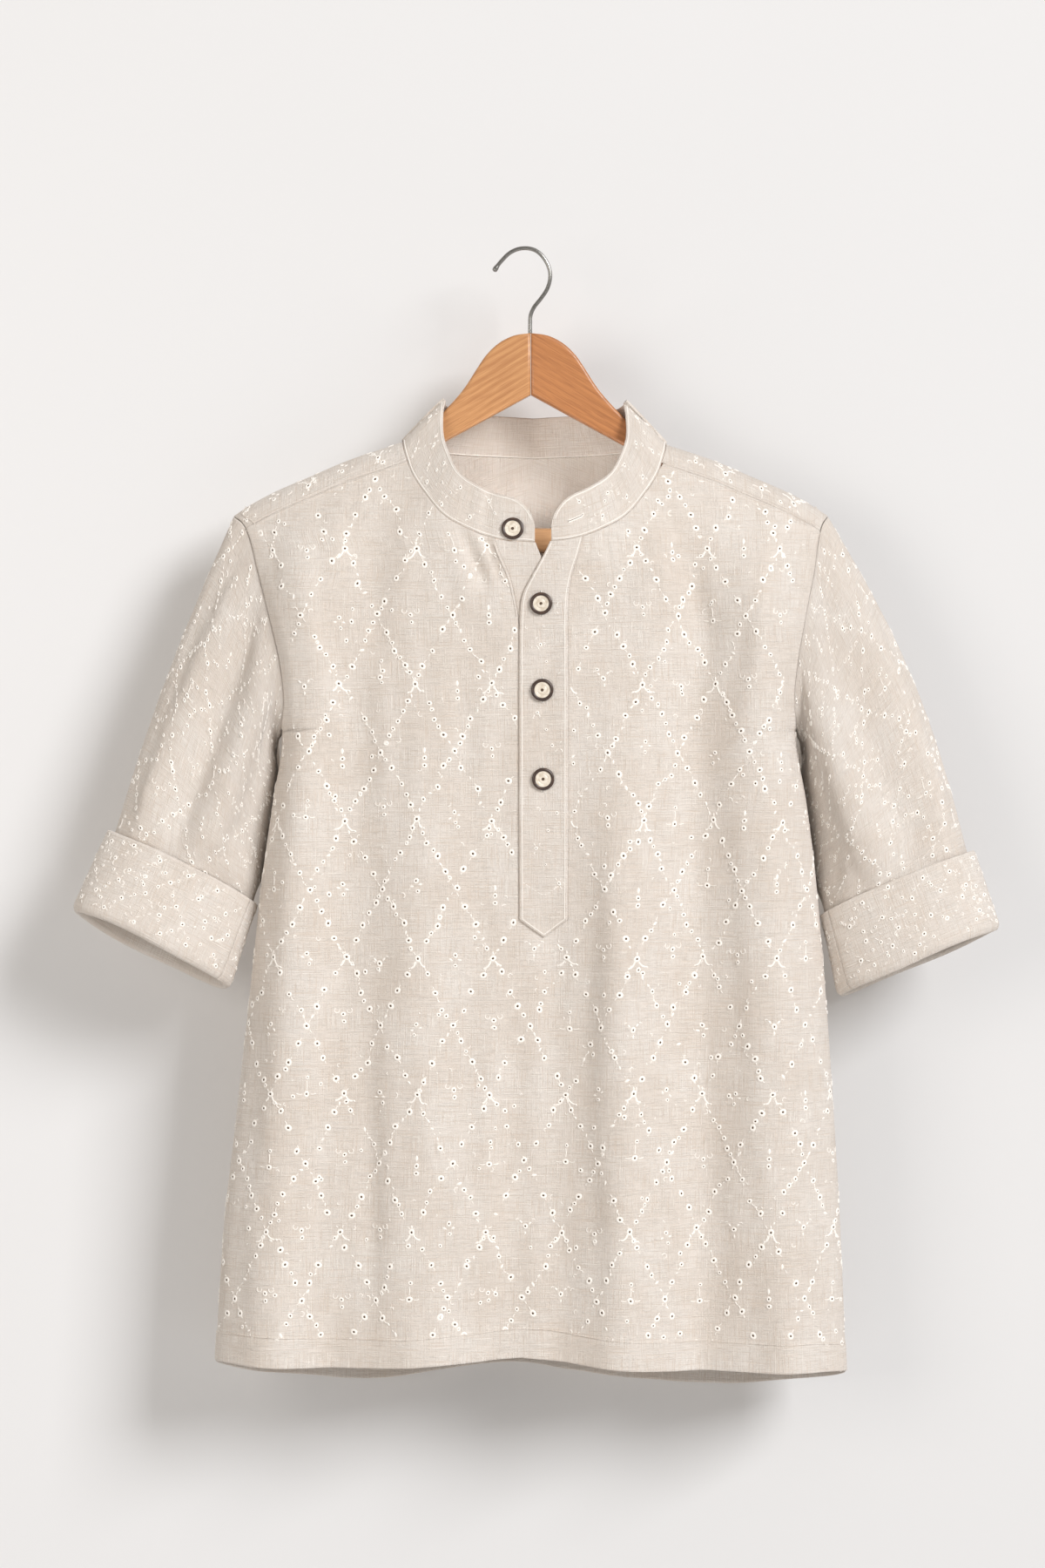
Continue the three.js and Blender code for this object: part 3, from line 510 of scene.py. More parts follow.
@dataclass(frozen=True)
class Shell:
    """How a grid of cloth becomes a thin wall with soft edges.

    Attributes:
        thickness: Of the wall.
        roll: How far the wall's two faces turn in at a free edge.
        closed: Whether the last column meets the first.
    """

    thickness: float = CLOTH
    roll: float = 0.4
    closed: bool = False

    def build(
        self, outer: Array, normals: Array, flats: Array, shown: Array | None = None
    ) -> Mesh:
        """The wall under a grid of outer points.

        Args:
            outer: The outer points, in rows.
            normals: The outward directions.
            flats: The flat places of the points.
            shown: Which cells there are, or none for all.

        Returns:
            The wall's mesh.
        """
        rows, columns = outer.shape[:2]
        last = columns if self.closed else columns - 1
        if shown is None:
            shown = np.ones((rows - 1, last), bool)
        index = np.arange(rows * columns).reshape(rows, columns)
        following = np.roll(index, -1, axis=1) if self.closed else index[:, 1:]
        index = index[:, :last]
        a, b = index[:-1], following[:-1]
        e, d = index[1:], following[1:]
        sides, total = self._sides(a, b, d, e, shown), rows * columns
        edge = np.zeros(total)
        edge[np.concatenate([ends for side in sides for ends in side])] = 1
        inward = normals * (edge.reshape(rows, columns) * self.roll)[..., None]
        mesh = Mesh()
        mesh.add_points(outer - inward, flats)
        mesh.add_points(outer - normals * self.thickness + inward, flats)
        quads = np.stack([a, e, d, b], axis=-1)[shown]
        rim = [np.stack([end, start, start + total, end + total], -1) for start, end in sides]
        for faces in (quads, quads[:, ::-1] + total, np.concatenate(rim)):
            mesh.add_faces(faces)
        return mesh

    def _sides(
        self, a: Array, b: Array, d: Array, e: Array, shown: Array
    ) -> list[tuple[Array, Array]]:
        """The two ends of each free side of the shown cells."""
        above = np.zeros_like(shown)
        above[1:] = shown[:-1]
        below = np.zeros_like(shown)
        below[:-1] = shown[1:]
        before = np.roll(shown, 1, axis=1)
        after = np.roll(shown, -1, axis=1)
        if not self.closed:
            before[:, 0] = False
            after[:, -1] = False
        return [
            (b[shown & ~above], a[shown & ~above]),
            (e[shown & ~below], d[shown & ~below]),
            (a[shown & ~before], e[shown & ~before]),
            (d[shown & ~after], b[shown & ~after]),
        ]


# ---------------------------------------------------------------- the garment's form


@dataclass(frozen=True)
class Fold:
    """A soft fold that hangs down the cloth.

    Attributes:
        z: Where it starts.
        x: Where it is there.
        full_z: Where it has its full height.
        end_x: Where it is at the hem.
        height: How far it stands out, or in if below 0.
        width: Half its width.
    """

    z: float
    x: float
    full_z: float
    end_x: float
    height: float
    width: float

    def __call__(self, x: Array, z: Array) -> Array:
        """How far the fold stands out at places on the cloth."""
        grown = smooth((self.z - z) / (self.z - self.full_z))
        middle = mix(self.x, self.end_x, np.clip((self.z - z) / (self.z + 900.0), 0, 1))
        return self.height * grown * np.exp(-(((x - middle) / self.width) ** 2))


@dataclass(frozen=True)
class Crease:
    """A short soft crease between two places, which fades out at both.

    Attributes:
        x: Where it starts.
        z: Where it starts.
        end_x: Where it ends.
        end_z: Where it ends.
        height: How far it stands out, or in if below 0.
        width: Half its width.
    """

    x: float
    z: float
    end_x: float
    end_z: float
    height: float
    width: float

    def __call__(self, x: Array, z: Array) -> Array:
        """How far the crease stands out at places on the cloth."""
        run = np.array([self.end_x - self.x, self.end_z - self.z])
        length = float(np.hypot(*run))
        along = ((x - self.x) * run[0] + (z - self.z) * run[1]) / length**2
        aside = ((x - self.x) * run[1] - (z - self.z) * run[0]) / length
        fade = smooth(along / 0.35) * smooth((1.0 - along) / 0.35)
        return self.height * fade * np.exp(-((aside / self.width) ** 2))


@dataclass(frozen=True)
class Face:
    """The front's or the back's form.

    Attributes:
        facing: -1 for the front and 1 for the back.
        depth: How far its middle is from the hanger's plane, by height.
        power: The exponent of the oval that its plan follows.
        swell: The drop below the shoulder at which it is at full depth.
        folds: Its folds.
        creases: Its short creases.
        rumple: Its soft unevenness.
    """

    facing: int
    depth: Track
    power: float
    swell: float
    folds: tuple[Fold, ...]
    creases: tuple[Crease, ...]
    rumple: Rumple


HEIGHTS = (-110.0, -214.0, -300.0, -388.0, -443.0, -499.0, -597.0, -709.0, -779.0, -920.0)
ARMHOLE_HEIGHTS = (-214.0, -220.0, -233.0, -261.0, -286.0, -331.0, -365.0, -388.0)
PLACKET_HEIGHTS = (-237.0, -251.0, -266.0, -280.0, -296.0, -320.0, -536.0)
COLLAR_ANGLES = (0.0, 30.0, 60.0, 90.0, 135.0, 180.0)


@dataclass
class BodyForm:
    """The form that all the body's pieces share: front, back, yoke, collar and placket."""

    right_edge: Track = Track(
        HEIGHTS, (-262, -240, -218, -199, -206, -214, -224.5, -237, -245, -254)
    )
    left_edge: Track = Track(HEIGHTS, (260, 240, 226, 212, 220, 227, 235.5, 243, 247, 253))
    side_y: Track = Track(HEIGHTS, (0, 0, -6, -12, -13, -13, -13, -12, -12, -11))
    shoulder: Track = Track(
        (0, 60, 105, 147, 175, 203, 224, 240),
        (-112, -134, -154.5, -169, -181, -193, -204, -214.5),
    )
    right_armhole: Track = Track(
        ARMHOLE_HEIGHTS, (-238.5, -231, -224.5, -217, -210, -199, -195.5, -199)
    )
    left_armhole: Track = Track(
        ARMHOLE_HEIGHTS, (238.5, 234, 230, 225.5, 220, 211.5, 208.5, 212)
    )
    neck: Track = Track(
        (0, 17, 34, 44, 55, 68, 77, 90, 110, 140, 180),
        (-238.5, -235.5, -224.5, -215, -199, -181, -167, -154.5, -156.5, -161, -163.5),
    )
    over_right: Track = Track(PLACKET_HEIGHTS, (15.5, 8.6, 0.3, -6.7, -8.8, -9.3, -9.3))
    over_left: Track = Track(PLACKET_HEIGHTS, (40, 36, 31.5, 29.4, 28.8, 29, 29))
    under_right: Track = Track(PLACKET_HEIGHTS, (-29, -23.6, -17, -13.4, -10.4, -8, -8))
    under_left: Track = Track(PLACKET_HEIGHTS, (3, 8.6, 15, 20, 23.6, 25.6, 25.6))
    front_hem: Track = Track(
        (-254, -235, -165, -110, -48, 0, 50, 105, 168, 225, 254),
        (-890, -888, -890.5, -890.5, -886.5, -883, -888.5, -893, -894, -895, -898),
    )
    back_hem: Track = Track(
        (-254, -200, -125, -60, -5, 35, 78, 133, 182, 225, 254),
        (-890, -906, -912, -906, -900, -906, -914, -916, -913, -907, -898),
    )
    underarm_z: float = -388.0
    back_armhole_share: float = 0.3
    ridge: float = 10.0
    ridge_power: float = 8.0
    neck_x: float = 3.0
    neck_half: float = 106.0
    yoke_drop: float = 18.0
    yoke_back_z: float = -252.0
    slot_lap: float = 3.0
    front: Face = Face(
        facing=-1,
        depth=Track(HEIGHTS, (60, 62, 62, 61, 60, 59, 58, 57, 56, 55)),
        power=2.8,
        swell=130.0,
        folds=(
            Fold(-180, -180, -270, -206, 11.0, 25),
            Fold(-195, -134, -330, -150, -5.0, 25),
            Fold(-300, -84, -540, -88, 8.5, 27),
            Fold(-420, -6, -760, -14, -9.0, 32),
            Fold(-380, 30, -600, 26, -5.0, 20),
            Fold(-300, 70, -560, 70, 13.5, 26),
            Fold(-185, 126, -300, 137, -12.0, 25),
            Fold(-190, 180, -300, 204, 13.0, 26),
        ),
        creases=(
            Crease(-58, -222, -33, -282, -3.2, 3.6),
            Crease(-49, -220, -24, -276, 2.2, 3.4),
            Crease(-40, -226, -20, -282, -2.6, 3.2),
            Crease(-72, -214, -40, -310, 2.6, 9),
            Crease(-128, -205, -118, -350, -3.0, 12),
            Crease(-98, -196, -96, -300, 2.0, 10),
            Crease(84, -196, 118, -300, 2.0, 9),
            Crease(100, -180, 150, -350, -3.2, 11),
            Crease(-185, -250, -150, -420, 2.4, 10),
            Crease(190, -262, 160, -430, 2.6, 10),
            Crease(44, -420, 50, -890, -3.4, 11),
            Crease(-128, -640, -126, -890, -2.6, 9),
            Crease(-30, -560, -34, -890, 2.6, 12),
            Crease(-112, -560, -108, -890, 2.4, 11),
            Crease(-160, -470, -176, -800, 2.4, 11),
            Crease(170, -420, 176, -780, 2.6, 11),
            Crease(112, -600, 112, -890, 2.2, 9),
        ),
        rumple=Rumple(seed=11, height=1.0),
    )
    back: Face = Face(
        facing=1,
        depth=Track(HEIGHTS, (50, 50, 49, 47, 46, 45, 44, 44, 44, 44)),
        power=2.4,
        swell=70.0,
        folds=(
            Fold(-300, -170, -520, -190, 10, 25),
            Fold(-270, -100, -560, -118, -8, 26),
            Fold(-260, -34, -520, -50, 8, 24),
            Fold(-260, 36, -560, 24, -8, 24),
            Fold(-270, 92, -540, 96, 8.5, 25),
            Fold(-300, 150, -600, 166, -7, 22),
        ),
        creases=(
            Crease(-140, -300, -150, -620, -2.8, 12),
            Crease(-70, -420, -84, -860, -3.2, 12),
            Crease(64, -380, 60, -840, 3.0, 12),
            Crease(128, -290, 134, -560, 2.6, 11),
            Crease(-190, -300, -150, -470, 2.2, 10),
            Crease(196, -300, 160, -470, 2.2, 10),
        ),
        rumple=Rumple(seed=23, height=1.0),
    )

    def shoulder_z(self, x: Array) -> Array:
        """The height of the shoulder line."""
        return self.shoulder(np.abs(x))

    def depth_at(self, face: Face, x: Array, z: Array) -> Array:
        """How far the cloth is from the plane of the side seams.

        Args:
            face: The front or the back.
            x: Places across.
            z: Heights.

        Returns:
            The depths there.
        """
        right, left = self.right_edge(z), self.left_edge(z)
        share = np.abs((2 * x - left - right) / (left - right))
        drop = np.maximum(0.0, self.shoulder_z(x) - z)
        full = face.depth(z) - face.facing * self.side_y(z)
        fall = np.minimum(drop, self.ridge)
        over = np.sqrt(self.ridge**2 - (self.ridge - fall) ** 2)
        ridge_oval = np.maximum(0.0, 1 - share**self.ridge_power) ** (1 / self.ridge_power)
        cover = np.maximum(0.0, 1 - share**face.power) ** (1 / face.power)
        folds = sum(fold(x, z) for fold in face.folds)
        fine = sum(crease(x, z) for crease in face.creases)
        fine = fine + face.rumple(x, -z) * smooth(drop / 60.0)
        return (
            over * ridge_oval
            + (full - self.ridge) * sine(90 * np.clip(drop / face.swell, 0, 1)) * cover
            + (folds + fine) * np.minimum(1.0, 1.6 * cover)
        )

    def point(self, face: Face, x: Array, z: Array) -> Array:
        """Points of the front's or the back's cloth."""
        x, z = np.broadcast_arrays(np.asarray(x, float), np.asarray(z, float))
        depth = SEAM_GAP / 2 + self.depth_at(face, x, z)
        return np.stack([x, self.side_y(z) + face.facing * depth, z], axis=-1)

    def normal(self, face: Face, x: Array, z: Array) -> Array:
        """The outward directions of the front's or the back's cloth."""
        across = self.point(face, x + 1, z) - self.point(face, x - 1, z)
        up = self.point(face, x, z + 1) - self.point(face, x, z - 1)
        return -face.facing * unit(np.cross(across, up))

    def edge(self, side: Side, z: Array, is_back: bool) -> Array:
        """A panel's edge: the side seam, and above the underarm the armhole."""
        right = side is Side.RIGHT
        seam = (self.right_edge if right else self.left_edge)(z)
        armhole = (self.right_armhole if right else self.left_armhole)(z)
        if is_back:
            armhole = mix(armhole, seam, self.back_armhole_share)
        return np.where(z <= self.underarm_z, seam, armhole)

    def over_shoulder(self, x: Array, reach: Array) -> Array:
        """Points of the cloth over the shoulders.

        Args:
            x: Places across.
            reach: The root of the drop below the shoulder line, below 0 on the back.

        Returns:
            The points.
        """
        z = self.shoulder_z(x) - reach**2
        to_front = (reach > 0)[..., None]
        found = np.where(to_front, self.point(self.front, x, z), self.point(self.back, x, z))
        found[..., 1] += np.where(reach > 0, 1, -1) * SEAM_GAP / 2
        return found

    def armhole_x(self, side: Side, reach: Array) -> Array:
        """Where the armhole is at a reach over the shoulder."""
        x = np.full(np.shape(reach), side.value * 230.0)
        for _ in range(24):
            z = self.shoulder_z(x) - reach**2
            edge = np.where(reach < 0, self.edge(side, z, True), self.edge(side, z, False))
            x = mix(x, edge, 0.5)
        return x

    def neck_at(self, angle: Array) -> tuple[Array, Array]:
        """The neck seam at angles round it, as x and reach over the shoulder."""
        x = self.neck_x + self.neck_half * sine(angle)
        z = np.minimum(self.neck(np.abs(angle)), self.shoulder_z(x))
        reach = np.sqrt(self.shoulder_z(x) - z) * np.where(np.abs(angle) < 90, 1, -1)
        return x, reach

    def yoke_angle(self, side: Side) -> float:
        """The angle at which the yoke's front seam meets the neck seam."""
        angles = np.linspace(60, 90, 3001)
        _, reach = self.neck_at(side.value * angles)
        return side.value * float(angles[np.argmax(reach**2 <= self.yoke_drop)])

    def angle_of(self, x: float) -> float:
        """The angle round the neck of a place in front."""
        return math.degrees(math.asin((x - self.neck_x) / self.neck_half))

    def slot_edge(self, side: Side, z: Array) -> Array:
        """An edge of the opening in the front, under the placket."""
        if side is Side.RIGHT:
            return self.under_right(z)
        return self.over_left(z) - self.slot_lap

    def front_top(self, x: Array) -> Array:
        """The front's top edge: the yoke's seam, and the neck seam between."""
        shoulder = self.shoulder_z(x) - self.yoke_drop - SEAM_GAP
        share = np.clip((x - self.neck_x) / self.neck_half, -1, 1)
        neck = self.neck(np.abs(np.degrees(np.arcsin(share)))) - SEAM_GAP
        right_end, _ = self.neck_at(np.array(self.yoke_angle(Side.RIGHT)))
        left_end, _ = self.neck_at(np.array(self.yoke_angle(Side.LEFT)))
        return np.where((x <= right_end) | (x >= left_end), shoulder, neck)

    def doubled(
        self, x: Array, z: Array, hem: Track, fell: float, turn_up: float, is_back: bool
    ) -> Array:
        """How far the cloth stands out where it is folded double, at armholes and hem.

        Args:
            x: Places across.
            z: Heights.
            hem: The panel's hem.
            fell: The width of the felled armhole seams.
            turn_up: The width of the hem.
            is_back: Whether it is the back.

        Returns:
            Three quarters of a millimetre on the doubled cloth, otherwise 0.
        """
        low = smooth((turn_up + 1.2 - (z - hem(x))) / 2.4)
        near = np.minimum(
            x - self.edge(Side.RIGHT, z, is_back), self.edge(Side.LEFT, z, is_back) - x
        )
        aside = smooth((fell + 1.2 - near) / 2.4) * smooth((z - self.underarm_z) / 6.0)
        return 0.75 * np.maximum(low, aside)

    def unrolled(self, face: Face) -> Unrolled:
        """The front or the back laid out flat, by height and the length across."""
        down = np.arange(105.0, 931.0, 3.0)
        turn = np.linspace(0, math.pi, 361)
        share = (1 - np.cos(turn)) / 2
        z = -down[:, None]
        x = mix(self.right_edge(z), self.left_edge(z), share[None, :])
        points = self.point(face, x, np.broadcast_to(z, x.shape))
        s = Unrolled.lengths(points, 180)
        across = np.broadcast_to(turn, x.shape).copy()
        edges = (self.right_edge, self.left_edge)
        return BodyCloth(down, s, points, across, facing=-face.facing, edges=edges)


# ---------------------------------------------------------------- finishes


@dataclass
class NodeBench:
    """A material's node tree, with short calls to fill it.

    Attributes:
        material: The material that is being made.
    """

    material: bpy.types.Material

    @staticmethod
    def new(name: str) -> "NodeBench":
        """A bench with an empty material."""
        material = bpy.data.materials.new(name)
        material.use_nodes = True
        material.node_tree.nodes.clear()
        return NodeBench(material)

    def node(self, kind: str, **settings: object) -> bpy.types.Node:
        """Adds a node and sets its properties and, by name, its sockets.

        Args:
            kind: The node's type.
            settings: Its properties in lower case, and its sockets' values with a
                leading capital and underscores for spaces.

        Returns:
            The node.
        """
        made = self.material.node_tree.nodes.new(kind)
        for name, value in settings.items():
            if name[0].isupper():
                made.inputs[name.replace("_", " ")].default_value = value
            else:
                setattr(made, name, value)
        return made

    def link(self, start: bpy.types.NodeSocket, end: bpy.types.NodeSocket) -> None:
        """Joins two sockets."""
        self.material.node_tree.links.new(start, end)

    def flat(self) -> bpy.types.NodeSocket:
        """The place on the flat cloth, in metres."""
        return self.node("ShaderNodeUVMap", uv_map="Flat").outputs[0]

    def stretched(
        self, source: bpy.types.NodeSocket, scale: tuple[float, float, float], turn: float = 0.0
    ) -> bpy.types.NodeSocket:
        """A place turned about its third axis and scaled."""
        made = self.node("ShaderNodeMapping")
        made.inputs["Rotation"].default_value = (0.0, 0.0, turn)
        made.inputs["Scale"].default_value = scale
        self.link(source, made.inputs["Vector"])
        return made.outputs[0]

    def noise(
        self, source: bpy.types.NodeSocket, detail: float = 2.0, roughness: float = 0.5
    ) -> bpy.types.NodeSocket:
        """Noise of unit scale at a place."""
        made = self.node("ShaderNodeTexNoise", Scale=1.0, Detail=detail, Roughness=roughness)
        self.link(source, made.inputs["Vector"])
        return made.outputs["Fac"]

    def ramp(
        self, source: bpy.types.NodeSocket, low: float, high: float, start: float, end: float
    ) -> bpy.types.NodeSocket:
        """A value turned from one range to another, kept inside it."""
        made = self.node("ShaderNodeMapRange", interpolation_type="SMOOTHSTEP")
        names = ("From Min", "From Max", "To Min", "To Max")
        for name, value in zip(names, (low, high, start, end)):
            made.inputs[name].default_value = value
        self.link(source, made.inputs["Value"])
        return made.outputs[0]

    def maths(
        self,
        operation: str,
        first: bpy.types.NodeSocket | float,
        second: bpy.types.NodeSocket | float = 0.0,
    ) -> bpy.types.NodeSocket:
        """The result of a sum on two values or sockets."""
        made = self.node("ShaderNodeMath", operation=operation)
        for socket, value in zip(made.inputs, (first, second)):
            if isinstance(value, (int, float)):
                socket.default_value = value
            else:
                self.link(value, socket)
        return made.outputs[0]

    def blend(
        self,
        share: bpy.types.NodeSocket | float,
        first: bpy.types.NodeSocket | tuple[float, ...],
        second: bpy.types.NodeSocket | tuple[float, ...],
    ) -> bpy.types.NodeSocket:
        """A colour between two others."""
        made = self.node("ShaderNodeMix", data_type="RGBA")
        sockets = (made.inputs[k] for k in (0, 6, 7))
        for socket, value in zip(sockets, (share, first, second)):
            if isinstance(value, bpy.types.NodeSocket):
                self.link(value, socket)
            else:
                socket.default_value = value
        return made.outputs[2]

    def bump(
        self, height: bpy.types.NodeSocket, distance: float, strength: float
    ) -> bpy.types.NodeSocket:
        """A bumped normal."""
        made = self.node("ShaderNodeBump", Distance=distance, Strength=strength)
        self.link(height, made.inputs["Height"])
        return made.outputs[0]

    def surface(
        self,
        colour: bpy.types.NodeSocket | tuple[float, ...],
        normal: bpy.types.NodeSocket | None = None,
        roughness: bpy.types.NodeSocket | float = 0.5,
        **settings: object,
    ) -> bpy.types.Material:
        """Finishes the material with one shader.

        Args:
            colour: The base colour.
            normal: The bumped normal, if there is one.
            roughness: The roughness.
            settings: Constant values of other sockets.

        Returns:
            The material.
        """
        shader = self.node("ShaderNodeBsdfPrincipled", **settings)
        for name, value in (("Base Color", colour), ("Roughness", roughness)):
            if isinstance(value, bpy.types.NodeSocket):
                self.link(value, shader.inputs[name])
            else:
                shader.inputs[name].default_value = value
        if normal is not None:
            self.link(normal, shader.inputs["Normal"])
        out = self.node("ShaderNodeOutputMaterial")
        self.link(shader.outputs[0], out.inputs["Surface"])
        return self.material


def paint(red: int, green: int, blue: int) -> tuple[float, float, float, float]:
    """A colour of 0 to 255 parts as it appears, in linear light."""
    parts = [c / 255 for c in (red, green, blue)]
    linear = [c / 12.92 if c <= 0.04045 else ((c + 0.055) / 1.055) ** 2.4 for c in parts]
    return (*linear, 1.0)


@dataclass(frozen=True)
class LinenFinish:
    """Cream linen of plain weave, with slubs both ways.

    Attributes:
        name: The material's name.
        pale: The colour of the thicker, paler yarns.
        ground: The usual colour.
        deep: The colour between the yarns.
        yarns: Yarns to the metre.
    """

    name: str = "linen"
    pale: tuple[int, int, int] = (247, 240, 231)
    ground: tuple[int, int, int] = (233, 224, 215)
    deep: tuple[int, int, int] = (214, 197, 180)
    yarns: float = 1500.0

    def material(self) -> bpy.types.Material:
        """Makes the material."""
        bench = NodeBench.new(self.name)
        flat = bench.flat()
        warp = bench.noise(bench.stretched(flat, (1150.0, 40.0, 1.0)), 3.0, 0.6)
        weft = bench.noise(bench.stretched(flat, (34.0, 1250.0, 1.0)), 3.0, 0.6)
        cloud = bench.noise(bench.stretched(flat, (22.0, 14.0, 1.0)), 3.0)
        slub_up = bench.ramp(warp, 0.53, 0.66, 0.0, 1.0)
        slub_across = bench.ramp(weft, 0.52, 0.66, 0.0, 1.0)
        thin_up = bench.ramp(warp, 0.34, 0.47, 1.0, 0.0)
        thin_across = bench.ramp(weft, 0.34, 0.47, 1.0, 0.0)
        across, up = self._weave(bench, flat)
        slubs = bench.maths("MAXIMUM", slub_up, slub_across)
        thin = bench.maths("MAXIMUM", thin_up, thin_across)
        colour = bench.blend(
            bench.maths("MULTIPLY", slubs, 0.75), paint(*self.ground), paint(*self.pale)
        )
        colour = bench.blend(bench.maths("MULTIPLY", thin, 0.56), colour, paint(*self.deep))
        colour = bench.blend(
            bench.ramp(cloud, 0.3, 0.7, 0.34, 0.0), colour, paint(*self.deep)
        )
        weave = bench.maths("MULTIPLY", across, up)
        height = bench.maths("ADD", bench.maths("MULTIPLY", slubs, 1.4), weave)
        height = bench.maths("SUBTRACT", height, bench.maths("MULTIPLY", thin, 0.7))
        normal = bench.bump(height, 0.00035, 0.7)
        return bench.surface(
            colour,
            normal,
            bench.ramp(weave, 0.0, 1.0, 0.95, 0.84),
            Sheen_Weight=0.18,
            Sheen_Roughness=0.55,
            Specular_IOR_Level=0.25,
        )

    def _weave(
        self, bench: NodeBench, flat: bpy.types.NodeSocket
    ) -> tuple[bpy.types.NodeSocket, bpy.types.NodeSocket]:
        """The rounded backs of the yarns across and up the cloth."""
        parts = bench.node("ShaderNodeSeparateXYZ")
        bench.link(flat, parts.inputs[0])
        turned = []
        for socket in (parts.outputs[0], parts.outputs[1]):
            wave = bench.maths("SINE", bench.maths("MULTIPLY", socket, self.yarns * math.pi))
            turned.append(bench.maths("ABSOLUTE", wave))
        return turned[0], turned[1]


@dataclass(frozen=True)
class SpeckFinish:
    """A surface of two close colours in fine noise: thread, horn and inlay.

    Attributes:
        name: The material's name.
        low: The colour where the noise is low.
        high: The colour where it is high.
        scale: The noise's scale across and down, to the metre.
        turn: The noise's turn, in radians.
        noise: The noise's detail and roughness.
        span: The noise's values between which the colours blend.
        relief: The strength of the relief.
        roughness: The surface's roughness.
        more: Further sockets of the shader, with their values.
    """

    name: str
    low: tuple[int, int, int]
    high: tuple[int, int, int]
    scale: tuple[float, float]
    turn: float
    noise: tuple[float, float]
    span: tuple[float, float]
    relief: float
    roughness: float
    more: tuple[tuple[str, float], ...]

    def material(self) -> bpy.types.Material:
        """Makes the material."""
        bench = NodeBench.new(self.name)
        place = bench.stretched(bench.flat(), (*self.scale, 1.0), self.turn)
        specks = bench.noise(place, *self.noise)
        share = bench.ramp(specks, *self.span, 0.0, 1.0)
        colour = bench.blend(share, paint(*self.low), paint(*self.high))
        relief = bench.bump(specks, 0.0001, self.relief)
        return bench.surface(colour, relief, self.roughness, **dict(self.more))


THREAD = SpeckFinish(
    "thread", (240, 233, 224), (249, 244, 237), (2600.0, 2600.0), 0.6, (1.0, 0.5),
    (0.35, 0.65), 0.5, 0.62, (("Sheen_Weight", 0.2), ("Sheen_Roughness", 0.4)),
)
HORN = SpeckFinish(
    "button_rim", (58, 42, 34), (86, 62, 48), (160.0, 520.0), 0.5, (4.0, 0.6),
    (0.45, 0.75), 0.2, 0.38, (("Coat_Weight", 0.25), ("Coat_Roughness", 0.2)),
)
INLAY = SpeckFinish(
    "button_inlay", (232, 222, 206), (206, 192, 172), (300.0, 300.0), 0.0, (3.0, 0.5),
    (0.35, 0.7), 0.25, 0.42, (("Coat_Weight", 0.15),),
)


@dataclass(frozen=True)
class HoleShadeFinish:
    """Painted shade: the flat dark colour that stands for the shaded inside seen through eyelets'
    holes and buttonholes' slits.
    """

    name: str = "hole_painted_shade"
    # both colours are painted shade, speckled between them
    colour: tuple[int, int, int] = (116, 98, 82)
    dark: tuple[int, int, int] = (74, 61, 50)

    def material(self) -> bpy.types.Material:
        """Makes the material."""
        bench = NodeBench.new(self.name)
        speck = bench.noise(bench.stretched(bench.flat(), (900.0, 900.0, 1.0)), 1.0)
        colour = bench.blend(speck, paint(*self.dark), paint(*self.colour))
        return bench.surface(colour, None, 1.0, Specular_IOR_Level=0.0)


@dataclass(frozen=True)
class WoodFinish:
    """Warm lacquered wood, its grain along one direction in the plane of the hanger.

    Attributes:
        name: The material's name.
        turn: The grain's angle from +X towards +Z, in degrees.
        light: The colour between the growth lines.
        dark: The colour of the growth lines.
    """

    name: str
    turn: float
    light: tuple[int, int, int] = (204, 150, 100)
    dark: tuple[int, int, int] = (166, 109, 64)

    def material(self) -> bpy.types.Material:
        """Makes the material."""
        bench = NodeBench.new(self.name)
        place = bench.node("ShaderNodeTexCoord").outputs["Object"]
        turned = bench.node("ShaderNodeVectorRotate", rotation_type="Y_AXIS")
        turned.inputs["Angle"].default_value = math.radians(self.turn)
        bench.link(place, turned.inputs["Vector"])
        along = turned.outputs[0]
        warp = bench.noise(bench.stretched(along, (9.0, 30.0, 22.0)), 2.0)
        lines = bench.node("ShaderNodeTexWave", wave_type="BANDS", bands_direction="Z")
        lines.inputs["Scale"].default_value = 60.0
        lines.inputs["Distortion"].default_value = 4.0
        lines.inputs["Detail"].default_value = 2.0
        lines.inputs["Detail Scale"].default_value = 1.2
        bench.link(bench.stretched(along, (0.16, 0.6, 1.0)), lines.inputs["Vector"])
        fibre = bench.noise(bench.stretched(along, (60.0, 900.0, 1500.0)), 3.0, 0.6)
        share = bench.maths("MULTIPLY", lines.outputs["Fac"], bench.ramp(warp, 0.3, 0.7, 0.15, 0.6))
        colour = bench.blend(share, paint(*self.light), paint(*self.dark))
        colour = bench.blend(
            bench.ramp(fibre, 0.4, 0.7, 0.0, 0.6), colour, paint(*self.dark)
        )
        return bench.surface(
            colour,
            bench.bump(fibre, 0.0001, 0.25),
            bench.ramp(fibre, 0.3, 0.7, 0.34, 0.46),
            Coat_Weight=0.25,
            Coat_Roughness=0.3,
        )


@dataclass(frozen=True)
class WireFinish:
    """Bright plated wire with faint drawing lines."""

    name: str = "bright_wire"
    colour: tuple[int, int, int] = (150, 148, 144)

    def material(self) -> bpy.types.Material:
        """Makes the material."""
        bench = NodeBench.new(self.name)
        place = bench.node("ShaderNodeTexCoord").outputs["Object"]
        marks = bench.noise(bench.stretched(place, (900.0, 900.0, 900.0)), 3.0)
        return bench.surface(
            paint(*self.colour),
            bench.bump(marks, 0.00004, 0.2),
            bench.ramp(marks, 0.3, 0.7, 0.24, 0.36),
            Metallic=1.0,
        )


